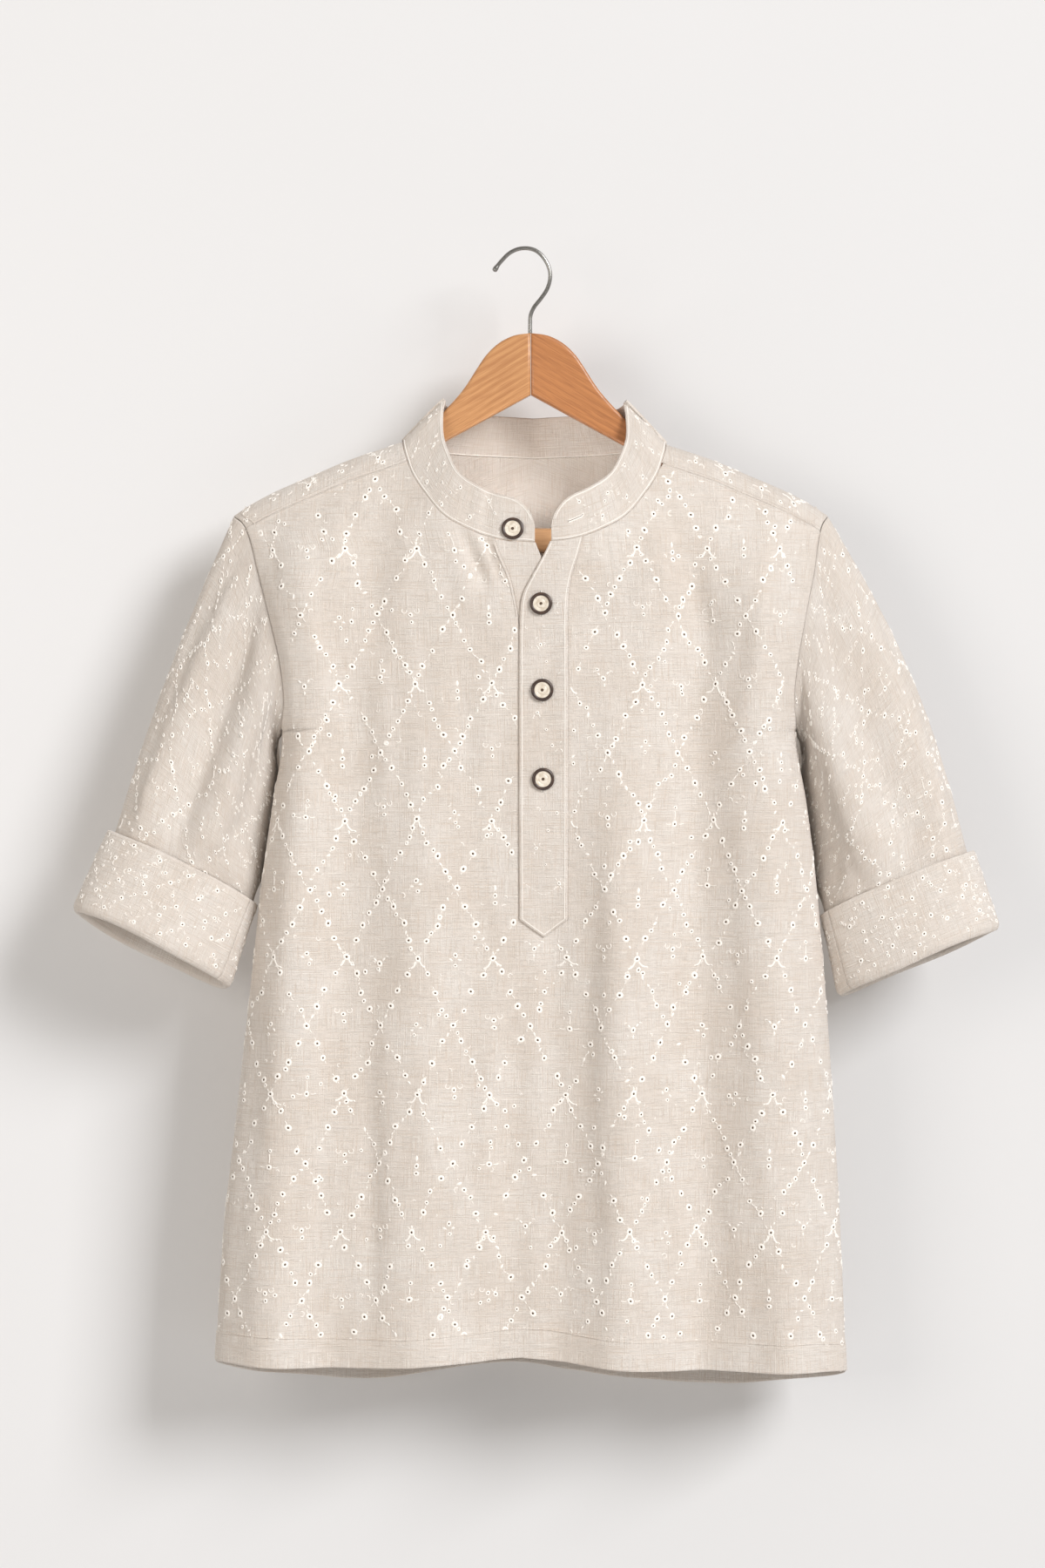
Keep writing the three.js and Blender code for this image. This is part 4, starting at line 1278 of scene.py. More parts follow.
@dataclass
class Finishes:
    """The materials that the pieces share."""

    linen: bpy.types.Material
    thread: bpy.types.Material
    # painted shade, for the holes of eyelets and the slits of buttonholes
    hole: bpy.types.Material
    horn: bpy.types.Material
    inlay: bpy.types.Material
    wire: bpy.types.Material

    @staticmethod
    def make() -> "Finishes":
        """Makes them all."""
        return Finishes(
            linen=LinenFinish().material(),
            thread=THREAD.material(),
            hole=HoleShadeFinish().material(),
            horn=HORN.material(),
            inlay=INLAY.material(),
            wire=WireFinish().material(),
        )


# ---------------------------------------------------------------- needlework


@dataclass(frozen=True)
class Eyelet:
    """A worked eyelet: a raised ring of thread round a small hole, whose floor is a disc of painted
    shade.

    Attributes:
        sides: Corners of the ring.
        outer: Its outer radius in millimetres.
        hole: The radius of its hole, a disc of painted shade.
        height: How far it stands out.
    """

    sides: int = 12
    outer: float = 2.8
    hole: float = 0.86
    height: float = 0.5

    def sew(self, mesh: Mesh, cloth: Unrolled, s: Array, t: Array, size: Array) -> None:
        """Adds eyelets to a mesh.

        Args:
            mesh: What they are added to.
            cloth: The cloth that they lie on.
            s: Where they are across it.
            t: Where they are down it.
            size: How large each is, 1 for the usual.
        """
        turn = np.arange(self.sides) * 2 * math.pi / self.sides
        rings = [
            (self.hole, 0.12),
            (self.hole * 1.3, self.height * 0.9),
            (self.outer * 0.76, self.height),
            (self.outer, -0.15),
        ]
        radius = np.repeat([r for r, _ in rings], self.sides)
        lift = np.repeat([h for _, h in rings], self.sides)
        around = np.tile(turn, len(rings))
        oval = 1 + 0.1 * np.sin(2 * around + (3.1 * s + 1.7 * t)[:, None])
        flat_s = s[:, None] + size[:, None] * oval * radius * np.cos(around)
        flat_t = t[:, None] + size[:, None] * oval * radius * np.sin(around)
        points = cloth.place(flat_s, flat_t, np.broadcast_to(lift, flat_s.shape))
        # the floor disc of each hole takes the second material, painted shade
        quads, floor = grid_quads(len(rings), self.sides, True), np.arange(self.sides)[None]
        if cloth.facing > 0:
            quads, floor = quads[:, ::-1], floor[:, ::-1]
        mesh.add_copies(points, np.stack([flat_s, flat_t], axis=-1), [(quads, 0), (floor, 1)])


@dataclass(frozen=True)
class Petal:
    """A small leaf of satin stitch, raised along its middle.

    Attributes:
        length: Of the leaf, in millimetres.
        width: Of the leaf.
        height: How far it stands out.
    """

    length: float = 4.4
    width: float = 2.5
    height: float = 0.42

    def sew(
        self, mesh: Mesh, cloth: Unrolled, s: Array, t: Array, turn: Array, size: Array
    ) -> None:
        """Adds petals to a mesh.

        Args:
            mesh: What they are added to.
            cloth: The cloth that they lie on.
            s: Where their middles are across it.
            t: Where their middles are down it.
            turn: The way that each points, in radians from across the cloth.
            size: How large each is.
        """
        along = np.array([-0.5, -0.25, 0.1, 0.5]) * self.length
        wide = np.array([0.12, 0.42, 0.5, 0.06]) * self.width
        tall = np.array([0.25, 0.9, 1.0, 0.2]) * self.height
        a = np.repeat(along, 4)
        b = (wide[:, None] * [-1.0, -0.45, 0.45, 1.0]).ravel()
        h = (tall[:, None] * [0.0, 1.0, 1.0, 0.0]).ravel() - np.tile([0.15, 0, 0, 0.15], 4)
        cos, sin = np.cos(turn)[:, None], np.sin(turn)[:, None]
        flat_s = s[:, None] + size[:, None] * (a * cos - b * sin)
        flat_t = t[:, None] + size[:, None] * (a * sin + b * cos)
        points = cloth.place(flat_s, flat_t, np.broadcast_to(h, flat_s.shape))
        quads = grid_quads(4, 4)
        if cloth.facing > 0:
            quads = quads[:, ::-1]
        mesh.add_copies(points, np.stack([flat_s, flat_t], axis=-1), [(quads, 0)])


@dataclass(frozen=True)
class Cording:
    """A thin raised line of thread or of folded cloth, half round.

    Attributes:
        width: Of the line, in millimetres.
        height: How far it stands out.
        step: The length between its sections.
    """

    width: float = 0.9
    height: float = 0.35
    step: float = 2.5

    def sew(self, mesh: Mesh, cloth: Unrolled, path: Array, finish: int = 0) -> None:
        """Adds one line to a mesh.

        Args:
            mesh: What it is added to.
            cloth: The cloth that it lies on.
            path: Its flat places.
            finish: Which of the object's materials it has.
        """
        path = spaced(path, self.step)
        if len(path) < 2:
            return
        run = unit(np.gradient(path, axis=0))
        aside = np.stack([-run[:, 1], run[:, 0]], axis=-1)
        offset = np.array([-0.5, -0.28, 0.28, 0.5]) * self.width
        lift = np.array([-0.12, self.height, self.height, -0.12])
        flats = path[:, None, :] + aside[:, None, :] * offset[None, :, None]
        lifts = np.broadcast_to(lift, flats.shape[:2])
        points = cloth.place(flats[..., 0], flats[..., 1], lifts)
        quads = mesh.add_points(points, flats) + grid_quads(len(path), 4)
        if cloth.facing > 0:
            quads = quads[:, ::-1]
        mesh.add_faces(quads, finish)


@dataclass(frozen=True)
class Topstitch:
    """A row of separate machine stitches.

    Attributes:
        pitch: From one stitch to the next, in millimetres.
        length: Of a stitch.
        width: Of its thread.
        height: How far it stands out.
    """

    pitch: float = 2.9
    length: float = 2.2
    width: float = 0.55
    height: float = 0.3

    def sew(self, mesh: Mesh, cloth: Unrolled, path: Array, finish: int = 0) -> None:
        """Adds a row of stitches to a mesh.

        Args:
            mesh: What they are added to.
            cloth: The cloth that they lie on.
            path: The row's flat places.
            finish: Which of the object's materials they have.
        """
        path = spaced(path, self.pitch)
        if len(path) < 3:
            return
        middle = (path[1:] + path[:-1]) / 2
        run = unit(path[1:] - path[:-1])
        along = np.array([-0.5, -0.3, -0.3, -0.3, 0.3, 0.3, 0.3, 0.5]) * self.length
        aside = np.array([0, -0.5, 0, 0.5, -0.5, 0, 0.5, 0]) * self.width
        lift = np.array([-0.1, -0.1, 1, -0.1, -0.1, 1, -0.1, -0.1]) * self.height
        flat_s = middle[:, :1] + run[:, :1] * along - run[:, 1:] * aside
        flat_t = middle[:, 1:] + run[:, 1:] * along + run[:, :1] * aside
        points = cloth.place(flat_s, flat_t, np.broadcast_to(lift, flat_s.shape))
        quads = np.array([[1, 4, 5, 2], [2, 5, 6, 3]])
        ends = np.array([[0, 1, 2], [0, 2, 3], [7, 5, 4], [7, 6, 5]])
        if cloth.facing > 0:
            quads, ends = quads[:, ::-1], ends[:, ::-1]
        mesh.add_copies(
            points, np.stack([flat_s, flat_t], axis=-1), [(quads, finish), (ends, finish)]
        )


def spaced(path: Array, step: float) -> Array:
    """A path with its points at even steps.

    Args:
        path: The flat places along it.
        step: The length of a step.

    Returns:
        The new flat places.
    """
    total = travelled(path)
    count = max(1, round(float(total[-1]) / step))
    at = np.linspace(0, total[-1], count + 1)
    return np.stack([np.interp(at, total, path[:, k]) for k in range(2)], axis=-1)


@dataclass(frozen=True)
class Lattice:
    """The embroidery's repeat: diamonds of eyelets with a small sprig inside each.

    Attributes:
        node_step: From one corner of the diamonds to the next across, in millimetres.
        row_step: From one row of corners to the next.
        first_s: Where a corner is across the cloth.
        first_t: Where its row is.
        jitter: How unevenly the work is placed.
        sprigs: How many of the diamonds' sprigs there are, as a share.
        scatter: Further loose eyelets for each diamond.
        arcs: Short curled stitches for each diamond.
        seed: Which unevenness.
        between: How many eyelets a side of a diamond has.
        ring: The size of its eyelets, 1 for the usual.
        winged: Whether its corners have leaves.
        chest: How many times as close the work is above the waist.
    """

    node_step: float = 60.0
    row_step: float = 54.0
    first_s: float = -37.0
    first_t: float = 674.0
    jitter: float = 1.7
    sprigs: float = 0.95
    scatter: float = 1.2
    arcs: float = 3.4
    seed: int = 5
    between: int = 3
    ring: float = 1.0
    winged: bool = True
    chest: float = 1.8

    def sew(
        self, name: str, cloth: Unrolled, inside: "Outline", finishes: Finishes
    ) -> bpy.types.Object:
        """Works the lattice over one piece of cloth.

        Args:
            name: The name of the embroidery's object.
            cloth: The cloth.
            inside: Says which flat places are on the piece.
            finishes: The materials.

        Returns:
            The embroidery.
        """
        rng = np.random.default_rng(self.seed)
        mesh, work = Mesh(), Work()
        for s, t, odd in self._corners(cloth):
            self._corner(rng, s, t, odd, work)
            for lean in (-1, 1):
                self._edge(rng, s, t, lean, work)
            if rng.random() < self.sprigs:
                self._sprig(rng, s + self.node_step / 2, t, work)
            half = self.node_step / 2, self.row_step / 2
            for _ in range(rng.poisson(self.scatter)):
                off = rng.uniform(-1, 1, 2) * half
                work.rings.append((s + off[0], t + off[1], rng.uniform(0.55, 0.85)))
            for _ in range(rng.poisson(self.arcs)):
                off = rng.uniform(-1, 1, 2) * half
                self._curl(rng, s + off[0], t + off[1], work)
        work.sew(mesh, cloth, inside, self.ring)
        made = mesh.make(name, [finishes.thread, finishes.hole])
        log.info("%s: %d faces", name, len(made.data.polygons))
        return made

    def _corners(self, cloth: Unrolled) -> list[tuple[float, float, bool]]:
        """The corners of the diamonds over the whole cloth."""
        found = []
        low_s, high_s = float(cloth.s.min()) - 60, float(cloth.s.max()) + 60
        low_t, high_t = float(cloth.t[0]) - 60, float(cloth.t[-1]) + 60
        first = math.floor((low_t - self.first_t) / self.row_step)
        last = math.ceil((high_t - self.first_t) / self.row_step)
        for row in range(first, last + 1):
            t = self.first_t + row * self.row_step
            shift = self.first_s + (self.node_step / 2 if row % 2 else 0)
            begin = math.ceil((low_s - shift) / self.node_step)
            end = math.floor((high_s - shift) / self.node_step)
            found += [(shift + k * self.node_step, t, bool(row % 2)) for k in range(begin, end + 1)]
        return found

    def _off(self, rng: np.random.Generator, size: float = 1.0) -> float:
        """A small random step."""
        return float(rng.normal(0, self.jitter * size))

    def _curl(self, rng: np.random.Generator, s: float, t: float, work: "Work") -> None:
        """A short curled stitch."""
        radius = rng.uniform(0.8, 2.2)
        begin = rng.uniform(0, 360)
        turn = np.radians(begin + np.linspace(0, rng.uniform(110, 230), 6))
        work.runs.append(np.stack([s + radius * np.cos(turn), t + radius * np.sin(turn)], -1))

    def _corner(
        self, rng: np.random.Generator, s: float, t: float, odd: bool, work: "Work"
    ) -> None:
        """The work at one corner: an eyelet, and at every other row two wings below it."""
        s, t = s + self._off(rng, 0.5), t + self._off(rng, 0.5)
        work.rings.append((s, t, 0.95 + 0.1 * rng.random()))
        if not self.winged:
            return
        if odd:
            if rng.random() < 0.6:
                work.petals.append((s + 4.6, t - 7.2, 2.2, 0.95))
            return
        for side in (-1, 1):
            self._leg(rng, s, t, side, 1, work)
        if rng.random() < 0.5:
            work.petals.append((s, t - 4.2, 1.57, 0.7))
        if rng.random() < 0.5:
            work.petals.append((s - 6.6, t - 9.4, 0.8, 0.8))

    def _leg(
        self, rng: np.random.Generator, s: float, t: float, side: int, down: int, work: "Work"
    ) -> None:
        """A broad curved line from an eyelet, out to one side, with a small leaf at its end."""
        reach, drop = rng.uniform(2.6, 6.2), rng.uniform(3.4, 6.4)
        share = np.linspace(0, 1, 6)
        out = side * (1.6 + reach * share**1.4)
        fall = down * (2.0 + drop * np.sin(share * rng.uniform(1.2, 1.9)))
        work.legs.append(np.stack([s + out, t + fall], -1))
        if rng.random() < 0.6:
            tip = (s + out[-1] + side * 1.2, t + fall[-1])
            work.petals.append((*tip, 0.4 * side, rng.uniform(0.5, 0.75)))

    def _edge(
        self, rng: np.random.Generator, s: float, t: float, lean: int, work: "Work"
    ) -> None:
        """The eyelets of one side of a diamond, from its corner down, and what is between."""
        share = np.arange(self.between + 2) / (self.between + 1)
        place = np.stack([s + lean * share * self.node_step / 2, t + share * self.row_step], -1)
        place[1:-1] += rng.normal(0, self.jitter, (self.between, 2))
        for at in place[1:-1]:
            size = float(rng.choice([1.06, 1.0, 0.92, 0.8]))
            if rng.random() < 0.1:
                work.petals.append((*at, rng.uniform(0, 3), size))
            else:
                work.rings.append((*at, size))
        for start, end in zip(place[:-1], place[1:]):
            run = unit(end - start)
            way = math.atan2(run[1], run[0])
            middle = (start + end) / 2 + rng.normal(0, 0.8, 2)
            kind = rng.random() / float(mix(1.0, self.chest, smooth((580 - t) / 160)))
            if kind < 0.2:
                work.petals.append((*middle, way + rng.normal(0, 0.6), rng.uniform(0.55, 0.85)))
            elif kind < 0.46:
                work.rings.append((*middle, rng.uniform(0.6, 0.85)))
            for from_end in (start + 2.9 * run, end - 2.9 * run):
                if rng.random() < 0.6:
                    to_middle = unit(middle - from_end) * rng.uniform(1.6, 3.4)
                    bow = np.array([-run[1], run[0]]) * rng.normal(0, 0.5)
                    steps = np.stack([0 * bow, to_middle / 2 + bow, to_middle])
                    work.runs.append(from_end + steps)

    @staticmethod
    def _bent(s: float, t: float, out: Array | tuple, up: Array | tuple) -> Array:
        """A short line, by its steps from one place."""
        return np.stack([s + np.asarray(out), t + np.asarray(up)], -1)

    def _sprig(self, rng: np.random.Generator, s: float, t: float, work: "Work") -> None:
        """The small work inside a diamond, one of a few kinds."""
        s, t = s + self._off(rng), t + self._off(rng, 2.0)
        rings, petals, runs = work.rings, work.petals, work.runs
        kind = int(rng.integers(0, 5))
        small = float(rng.uniform(0.68, 0.86))
        if kind == 0:
            rings += [(s, t + 1, small), (s, t + 6.8, small)]
            petals.append((s, t - 5.0, 1.57, 1.1))
        elif kind == 1:
            rings.append((s, t + 2, small + 0.1))
            for side in (-1, 1):
                petals.append((s + side * 3.6, t - 1.8 + self._off(rng, 0.4), -0.75 * side, small))
                out = (side * 5.2, side * 6.6, side * 7.6)
                runs.append(self._bent(s, t, out, (-3.6, -4.0, -3.0)))
            petals.append((s + self._off(rng, 0.3), t + 7.4, 1.57, small))
        elif kind == 2:
            rings += [(s, t - 3, small), (s + 0.6, t + 2.8, small * 0.9)]
            arc = np.radians(np.linspace(-60, 200, 8))
            for side in (-1, 1):
                out = side * (5.0 + 2.1 * np.cos(arc))
                runs.append(self._bent(s, t, out, 2.1 * np.sin(arc) - 6))
        elif kind == 3:
            rings.append((s, t, small + 0.15))
            for side in (-1, 1):
                out = (side * 3.2, side * 5.6, side * 8.0)
                runs.append(self._bent(s, t, out, (0.0, 0.5, -0.4)))
            runs.append(self._bent(s, t, (0.0, 0.3, -0.2), (-3.4, -7.0, -10.5)))
            rings.append((s + self._off(rng, 0.5), t - 13.0, small * 0.8))
        else:
            turn = rng.uniform(-0.5, 0.5)
            for side in (-1, 1):
                lean = turn + rng.normal(0, 0.3)
                petals.append((s + side * 3.4, t + side * turn * 3.0, lean, small))
            rings += [(s, t - 3.6, small), (s + self._off(rng), t + 4.6, small * 0.8)]


@dataclass
class Work:
    """What is to be sewn on a piece of cloth.

    Attributes:
        rings: Eyelets, each as s, t and size.
        petals: Petals, each as s, t, turn and size.
        runs: Thin lines, each as its flat places.
        legs: Broad lines of satin stitch, each as its flat places.
    """

    rings: list[tuple[float, float, float]] = field(default_factory=list)
    petals: list[tuple[float, float, float, float]] = field(default_factory=list)
    runs: list[Array] = field(default_factory=list)
    legs: list[Array] = field(default_factory=list)

    def sew(self, mesh: Mesh, cloth: Unrolled, inside: "Outline", size: float) -> None:
        """Sews what is on the piece.

        Args:
            mesh: What it is added to.
            cloth: The cloth.
            inside: Says which flat places are on the piece.
            size: The size of the eyelets and the petals.
        """
        ring = np.array(self.rings)
        ring = ring[inside(ring[:, 0], ring[:, 1], 3.4)]
        Eyelet().sew(mesh, cloth, ring[:, 0], ring[:, 1], ring[:, 2] * size)
        petal = np.array(self.petals).reshape(-1, 4)
        petal = petal[inside(petal[:, 0], petal[:, 1], 3.6)]
        if len(petal):
            Petal().sew(mesh, cloth, *petal[:, :3].T, petal[:, 3] * size)
        for runs, width in ((self.runs, 0.85), (self.legs, 1.6)):
            cording = Cording(width=width, height=0.3, step=1.7)
            for run in runs:
                if inside(run[:, 0], run[:, 1], 1.5).all():
                    cording.sew(mesh, cloth, run)


@dataclass(frozen=True)
class Outline:
    """Says which flat places are on a piece of cloth.

    Attributes:
        t: Rows down the piece.
        low: Its edge at each row on the lower side of s.
        high: Its edge at each row on the other side.
        top: The least t at a place across, or none.
        bottom: The greatest t at a place across, or none.
        holes: Further outlines that are left out.
    """

    t: Array
    low: Array
    high: Array
    top: tuple[Array, Array] | None = None
    bottom: tuple[Array, Array] | None = None
    holes: tuple["Outline", ...] = ()

    def __call__(self, s: Array, t: Array, margin: float) -> Array:
        """Whether flat places are on the piece, and a margin from its edges.

        Args:
            s: Places across.
            t: Places down.
            margin: How far from the edges they have to be.

        Returns:
            True for each that is.
        """
        good = (t >= self.t[0] + margin) & (t <= self.t[-1] - margin)
        good &= s >= np.interp(t, self.t, self.low) + margin
        good &= s <= np.interp(t, self.t, self.high) - margin
        if self.top is not None:
            good &= t >= np.interp(s, *self.top) + margin
        if self.bottom is not None:
            good &= t <= np.interp(s, *self.bottom) - margin
        for hole in self.holes:
            good &= ~hole(s, t, -margin)
        return good


# ---------------------------------------------------------------- pieces of the body


@dataclass(frozen=True)
class Cut:
    """The flat size that a piece of cloth was cut to, as far as it shows.

    Attributes:
        width: In metres; not used.
        length: In metres; not used.
        area: In square metres.
        held: How the cloth is held, in the frame's own word; not used.
        rests_on: The pieces that it hangs from or lies on.
    """

    width: float
    length: float
    area: float
    held: str = "hung"
    rests_on: tuple[str, ...] = ("hanger_arm_right_wood", "hanger_arm_left_wood")

    def declare(
        self, cloth: bpy.types.Object, node: str, work: list[bpy.types.Object]
    ) -> None:
        """Puts a piece of cloth and the needlework on it in the frame.

        Args:
            cloth: The piece.
            node: The part's node that it stands for.
            work: The needlework on it.
        """
        for piece in (cloth, *work):
            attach(piece, "root")
        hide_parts(node)
        list(self.rests_on)
        area = sum(face.area for face in cloth.data.polygons) / 2
        log.info("%s: %.4f of %.4f square metres", cloth.name, area, self.area)


@dataclass
class FrontPanel:
    """The front, open under the placket."""

    form: BodyForm
    finishes: Finishes
    cut: Cut = Cut(width=0.58, length=0.74, area=0.35)
    cell: float = 3.0
    slot_end_z: float = -531.0
    opening_z: float = -238.5
    fell: float = 10.0
    hem: float = 23.0
    cloth: Unrolled = field(init=False)

    def __post_init__(self) -> None:
        """Lays the front's surface out flat."""
        self.cloth = self.form.unrolled(self.form.front)

    def build(self) -> bpy.types.Object:
        """Makes the front's cloth."""
        x, z, hidden = self._grid()
        points = self.form.point(self.form.front, x, z)
        normals = grid_normals(points)
        turned = self.form.doubled(x, z, self.form.front_hem, self.fell, self.hem, False)
        points = points + normals * turned[..., None]
        flats = self.cloth.flat(x, -z)
        mesh = Shell().build(points, normals, flats, ~hidden)
        return mesh.make("front_linen", [self.finishes.linen])

    def _grid(self) -> tuple[Array, Array, Array]:
        """The grid's places as x and z, and which cells are the opening."""
        share = graded_both(210.0, self.cell)
        arm = graded(176.0, self.cell)
        slot = np.linspace(0, 1, 49)[1:]
        low = 1.0 - graded(355.0, self.cell, (0.7, 1.8, 3.6))[::-1][1:]
        level = np.concatenate([arm, 1 + slot, 2 + low])
        halves = [self._half(side, share, level) for side in Side]
        between = graded_both(36.0, 3.2)[1:-1]
        z_low = mix(halves[0][1][:, -1:], halves[1][1][:, -1:], between)
        x_low = mix(halves[0][0][:, -1:], halves[1][0][:, -1:], between)
        x = np.concatenate([halves[0][0], x_low, halves[1][0][:, ::-1]], axis=1)
        z = np.concatenate([halves[0][1], z_low, halves[1][1][:, ::-1]], axis=1)
        hidden = np.zeros((x.shape[0] - 1, x.shape[1] - 1), bool)
        last_row = len(arm) + len(slot) - 1
        hidden[:last_row, len(share) - 1 : len(share) + len(between)] = True
        return x, z, hidden

    def _half(self, side: Side, share: Array, level: Array) -> tuple[Array, Array]:
        """The grid of one half, from its edge to the opening."""
        form = self.form
        corner = float(form.armhole_x(side, np.array(math.sqrt(form.yoke_drop + SEAM_GAP))))
        opening = float(form.slot_edge(side, self.opening_z))
        top_x = mix(corner, opening, share)[None, :]
        top_z = form.front_top(top_x)
        rows = level[:, None]
        upper = mix(top_z, form.underarm_z, np.minimum(rows, 1))
        middle = mix(form.underarm_z, self.slot_end_z, np.clip(rows - 1, 0, 1))
        end_x = mix(
            form.edge(side, self.slot_end_z, False), form.slot_edge(side, self.slot_end_z), share
        )
        hem_z = form.front_hem(end_x * 1.1)[None, :]
        lower = mix(self.slot_end_z, hem_z, np.clip(rows - 2, 0, 1))
        z = np.where(rows <= 1, upper, np.where(rows <= 2, middle, lower))
        edge, slot = form.edge(side, z, False), form.slot_edge(side, z)
        straight = mix(edge, slot, share[None, :])
        top_straight = mix(
            form.edge(side, top_z, False), form.slot_edge(side, top_z), share[None, :]
        )
        straight = straight + (top_x - top_straight) * (1 - smooth(rows))
        edge_s, slot_s = self.cloth.s_of(edge, -z), self.cloth.s_of(slot, -z)
        even = self.cloth.across_of(mix(edge_s, slot_s, share[None, :]), -z)
        return mix(straight, even, smooth(rows / 0.6)), z

    def outline(self) -> Outline:
        """Where the embroidery may lie."""
        form = self.form
        t = np.arange(172.0, 899.0, 3.0)
        edges = [self.cloth.s_of(form.edge(side, -t, False), t) for side in Side]
        x = np.linspace(-254, 254, 301)
        top_t = -form.front_top(x)
        top = (self.cloth.s_of(x, top_t), top_t)
        hem_t = -form.front_hem(x)
        bottom = (self.cloth.s_of(x, hem_t), hem_t)
        band_t = np.arange(225.0, 552.0, 3.0)
        right = np.minimum(form.over_right(-band_t), form.under_right(-band_t))
        band = Outline(
            band_t,
            self.cloth.s_of(right, band_t),
            self.cloth.s_of(form.over_left(-band_t), band_t),
        )
        return Outline(t, edges[0], edges[1], top, bottom, (band,))

    def dress(self) -> list[bpy.types.Object]:
        """Works the embroidery and the seams' stitches."""
        work = [Lattice().sew("front_embroidery", self.cloth, self.outline(), self.finishes)]
        mesh = Mesh()
        form, stitch, fold = self.form, Topstitch(), Cording(width=0.9, height=0.42, step=2.0)
        for side in Side:
            t = np.arange(206.0, 386.0, 3.0)
            s = self.cloth.s_of(form.edge(side, -t, False), t) - side.value * self.fell
            fold.sew(mesh, self.cloth, np.stack([s, t], -1))
            x_end, _ = form.neck_at(np.array(form.yoke_angle(side)))
            x = np.linspace(float(x_end), side.value * 236.0, 40)
            t = -form.front_top(x) + 2.2
            fold.sew(mesh, self.cloth, self.cloth.flat(x, t))
        x = np.linspace(-251, 250, 120)
        t = -form.front_hem(x) - self.hem
        Cording(width=0.8, height=0.85).sew(mesh, self.cloth, self.cloth.flat(x, t))
        t = t + 3.0
        stitch.sew(mesh, self.cloth, self.cloth.flat(x, t))
        self._under_seam(mesh)
        work.append(mesh.make("front_topstitch", [self.finishes.linen]))
        return work

    def _under_seam(self, mesh: Mesh) -> None:
        """The folded edge along the under placket's seam."""
        t = np.arange(240.0, 300.0, 3.0)
        s = self.cloth.s_of(self.form.under_right(-t) - 1.2, t)
        Cording(width=1.3, height=0.5).sew(mesh, self.cloth, np.stack([s, t], -1))

    def make(self) -> None:
        """Builds the front and puts it in the frame."""
        self.cut.declare(self.build(), "front_panel", self.dress())


@dataclass
class BackPanel:
    """The back, from the yoke's seam to the longer rear hem."""

    form: BodyForm
    finishes: Finishes
    cut: Cut = Cut(width=0.57, length=0.67, area=0.337)
    cell: float = 3.1
    fell: float = 10.0
    hem: float = 23.0
    cloth: Unrolled = field(init=False)

    def __post_init__(self) -> None:
        """Lays the back's surface out flat."""
        self.cloth = self.form.unrolled(self.form.back)

    def build(self) -> bpy.types.Object:
        """Makes the back's cloth."""
        form = self.form
        share = graded_both(500.0, self.cell)[None, :]
        top_z = form.yoke_back_z - SEAM_GAP
        arm = graded(136.0, self.cell)
        low = 1.0 - graded(520.0, self.cell, (0.7, 1.8, 3.6))[::-1][1:]
        level = np.concatenate([arm, 1 + low])[:, None]
        wide = mix(form.edge(Side.LEFT, -900.0, True), form.edge(Side.RIGHT, -900.0, True), share)
        lower = mix(form.underarm_z, form.back_hem(wide), np.clip(level - 1, 0, 1))
        z = np.where(level <= 1, mix(top_z, form.underarm_z, level), lower)
        edges = [self.cloth.s_of(form.edge(side, z, True), -z) for side in Side]
        x = self.cloth.across_of(mix(edges[1], edges[0], share), -z)
        points = form.point(form.back, x, z)
        normals = grid_normals(points)
        turned = form.doubled(x, z, form.back_hem, self.fell, self.hem, True)
        points = points + normals * turned[..., None]
        flats = self.cloth.flat(x, -z)
        mesh = Shell().build(points, normals, flats)
        return mesh.make("back_linen", [self.finishes.linen])

    def outline(self) -> Outline:
        """Where the embroidery may lie."""
        t = np.arange(-self.form.yoke_back_z, 917.0, 3.0)
        edges = [self.cloth.s_of(self.form.edge(side, -t, True), t) for side in Side]
        x = np.linspace(-254, 254, 301)
        hem_t = -self.form.back_hem(x)
        return Outline(
            t, edges[0], edges[1], None, (self.cloth.s_of(x, hem_t), hem_t)
        )

    def dress(self) -> list[bpy.types.Object]:
        """Works the embroidery and the seams' stitches."""
        lattice = Lattice(first_s=-30.0, seed=9)
        work = [lattice.sew("back_embroidery", self.cloth, self.outline(), self.finishes)]
        mesh, stitch = Mesh(), Topstitch()
        for side in Side:
            t = np.arange(256.0, 386.0, 3.0)
            s = self.cloth.s_of(self.form.edge(side, -t, True), t) - side.value * self.fell
            stitch.sew(mesh, self.cloth, np.stack([s, t], -1))
        x = np.linspace(-251, 250, 120)
        t = -self.form.back_hem(x) - self.hem
        stitch.sew(mesh, self.cloth, self.cloth.flat(x, t))
        t = np.full(120, 2.2 - self.form.yoke_back_z)
        x = np.linspace(-228, 232, 120)
        stitch.sew(mesh, self.cloth, self.cloth.flat(x, t))
        work.append(mesh.make("back_topstitch", [self.finishes.linen]))
        return work

    def make(self) -> None:
        """Builds the back and puts it in the frame."""
        self.cut.declare(self.build(), "back_panel", self.dress())


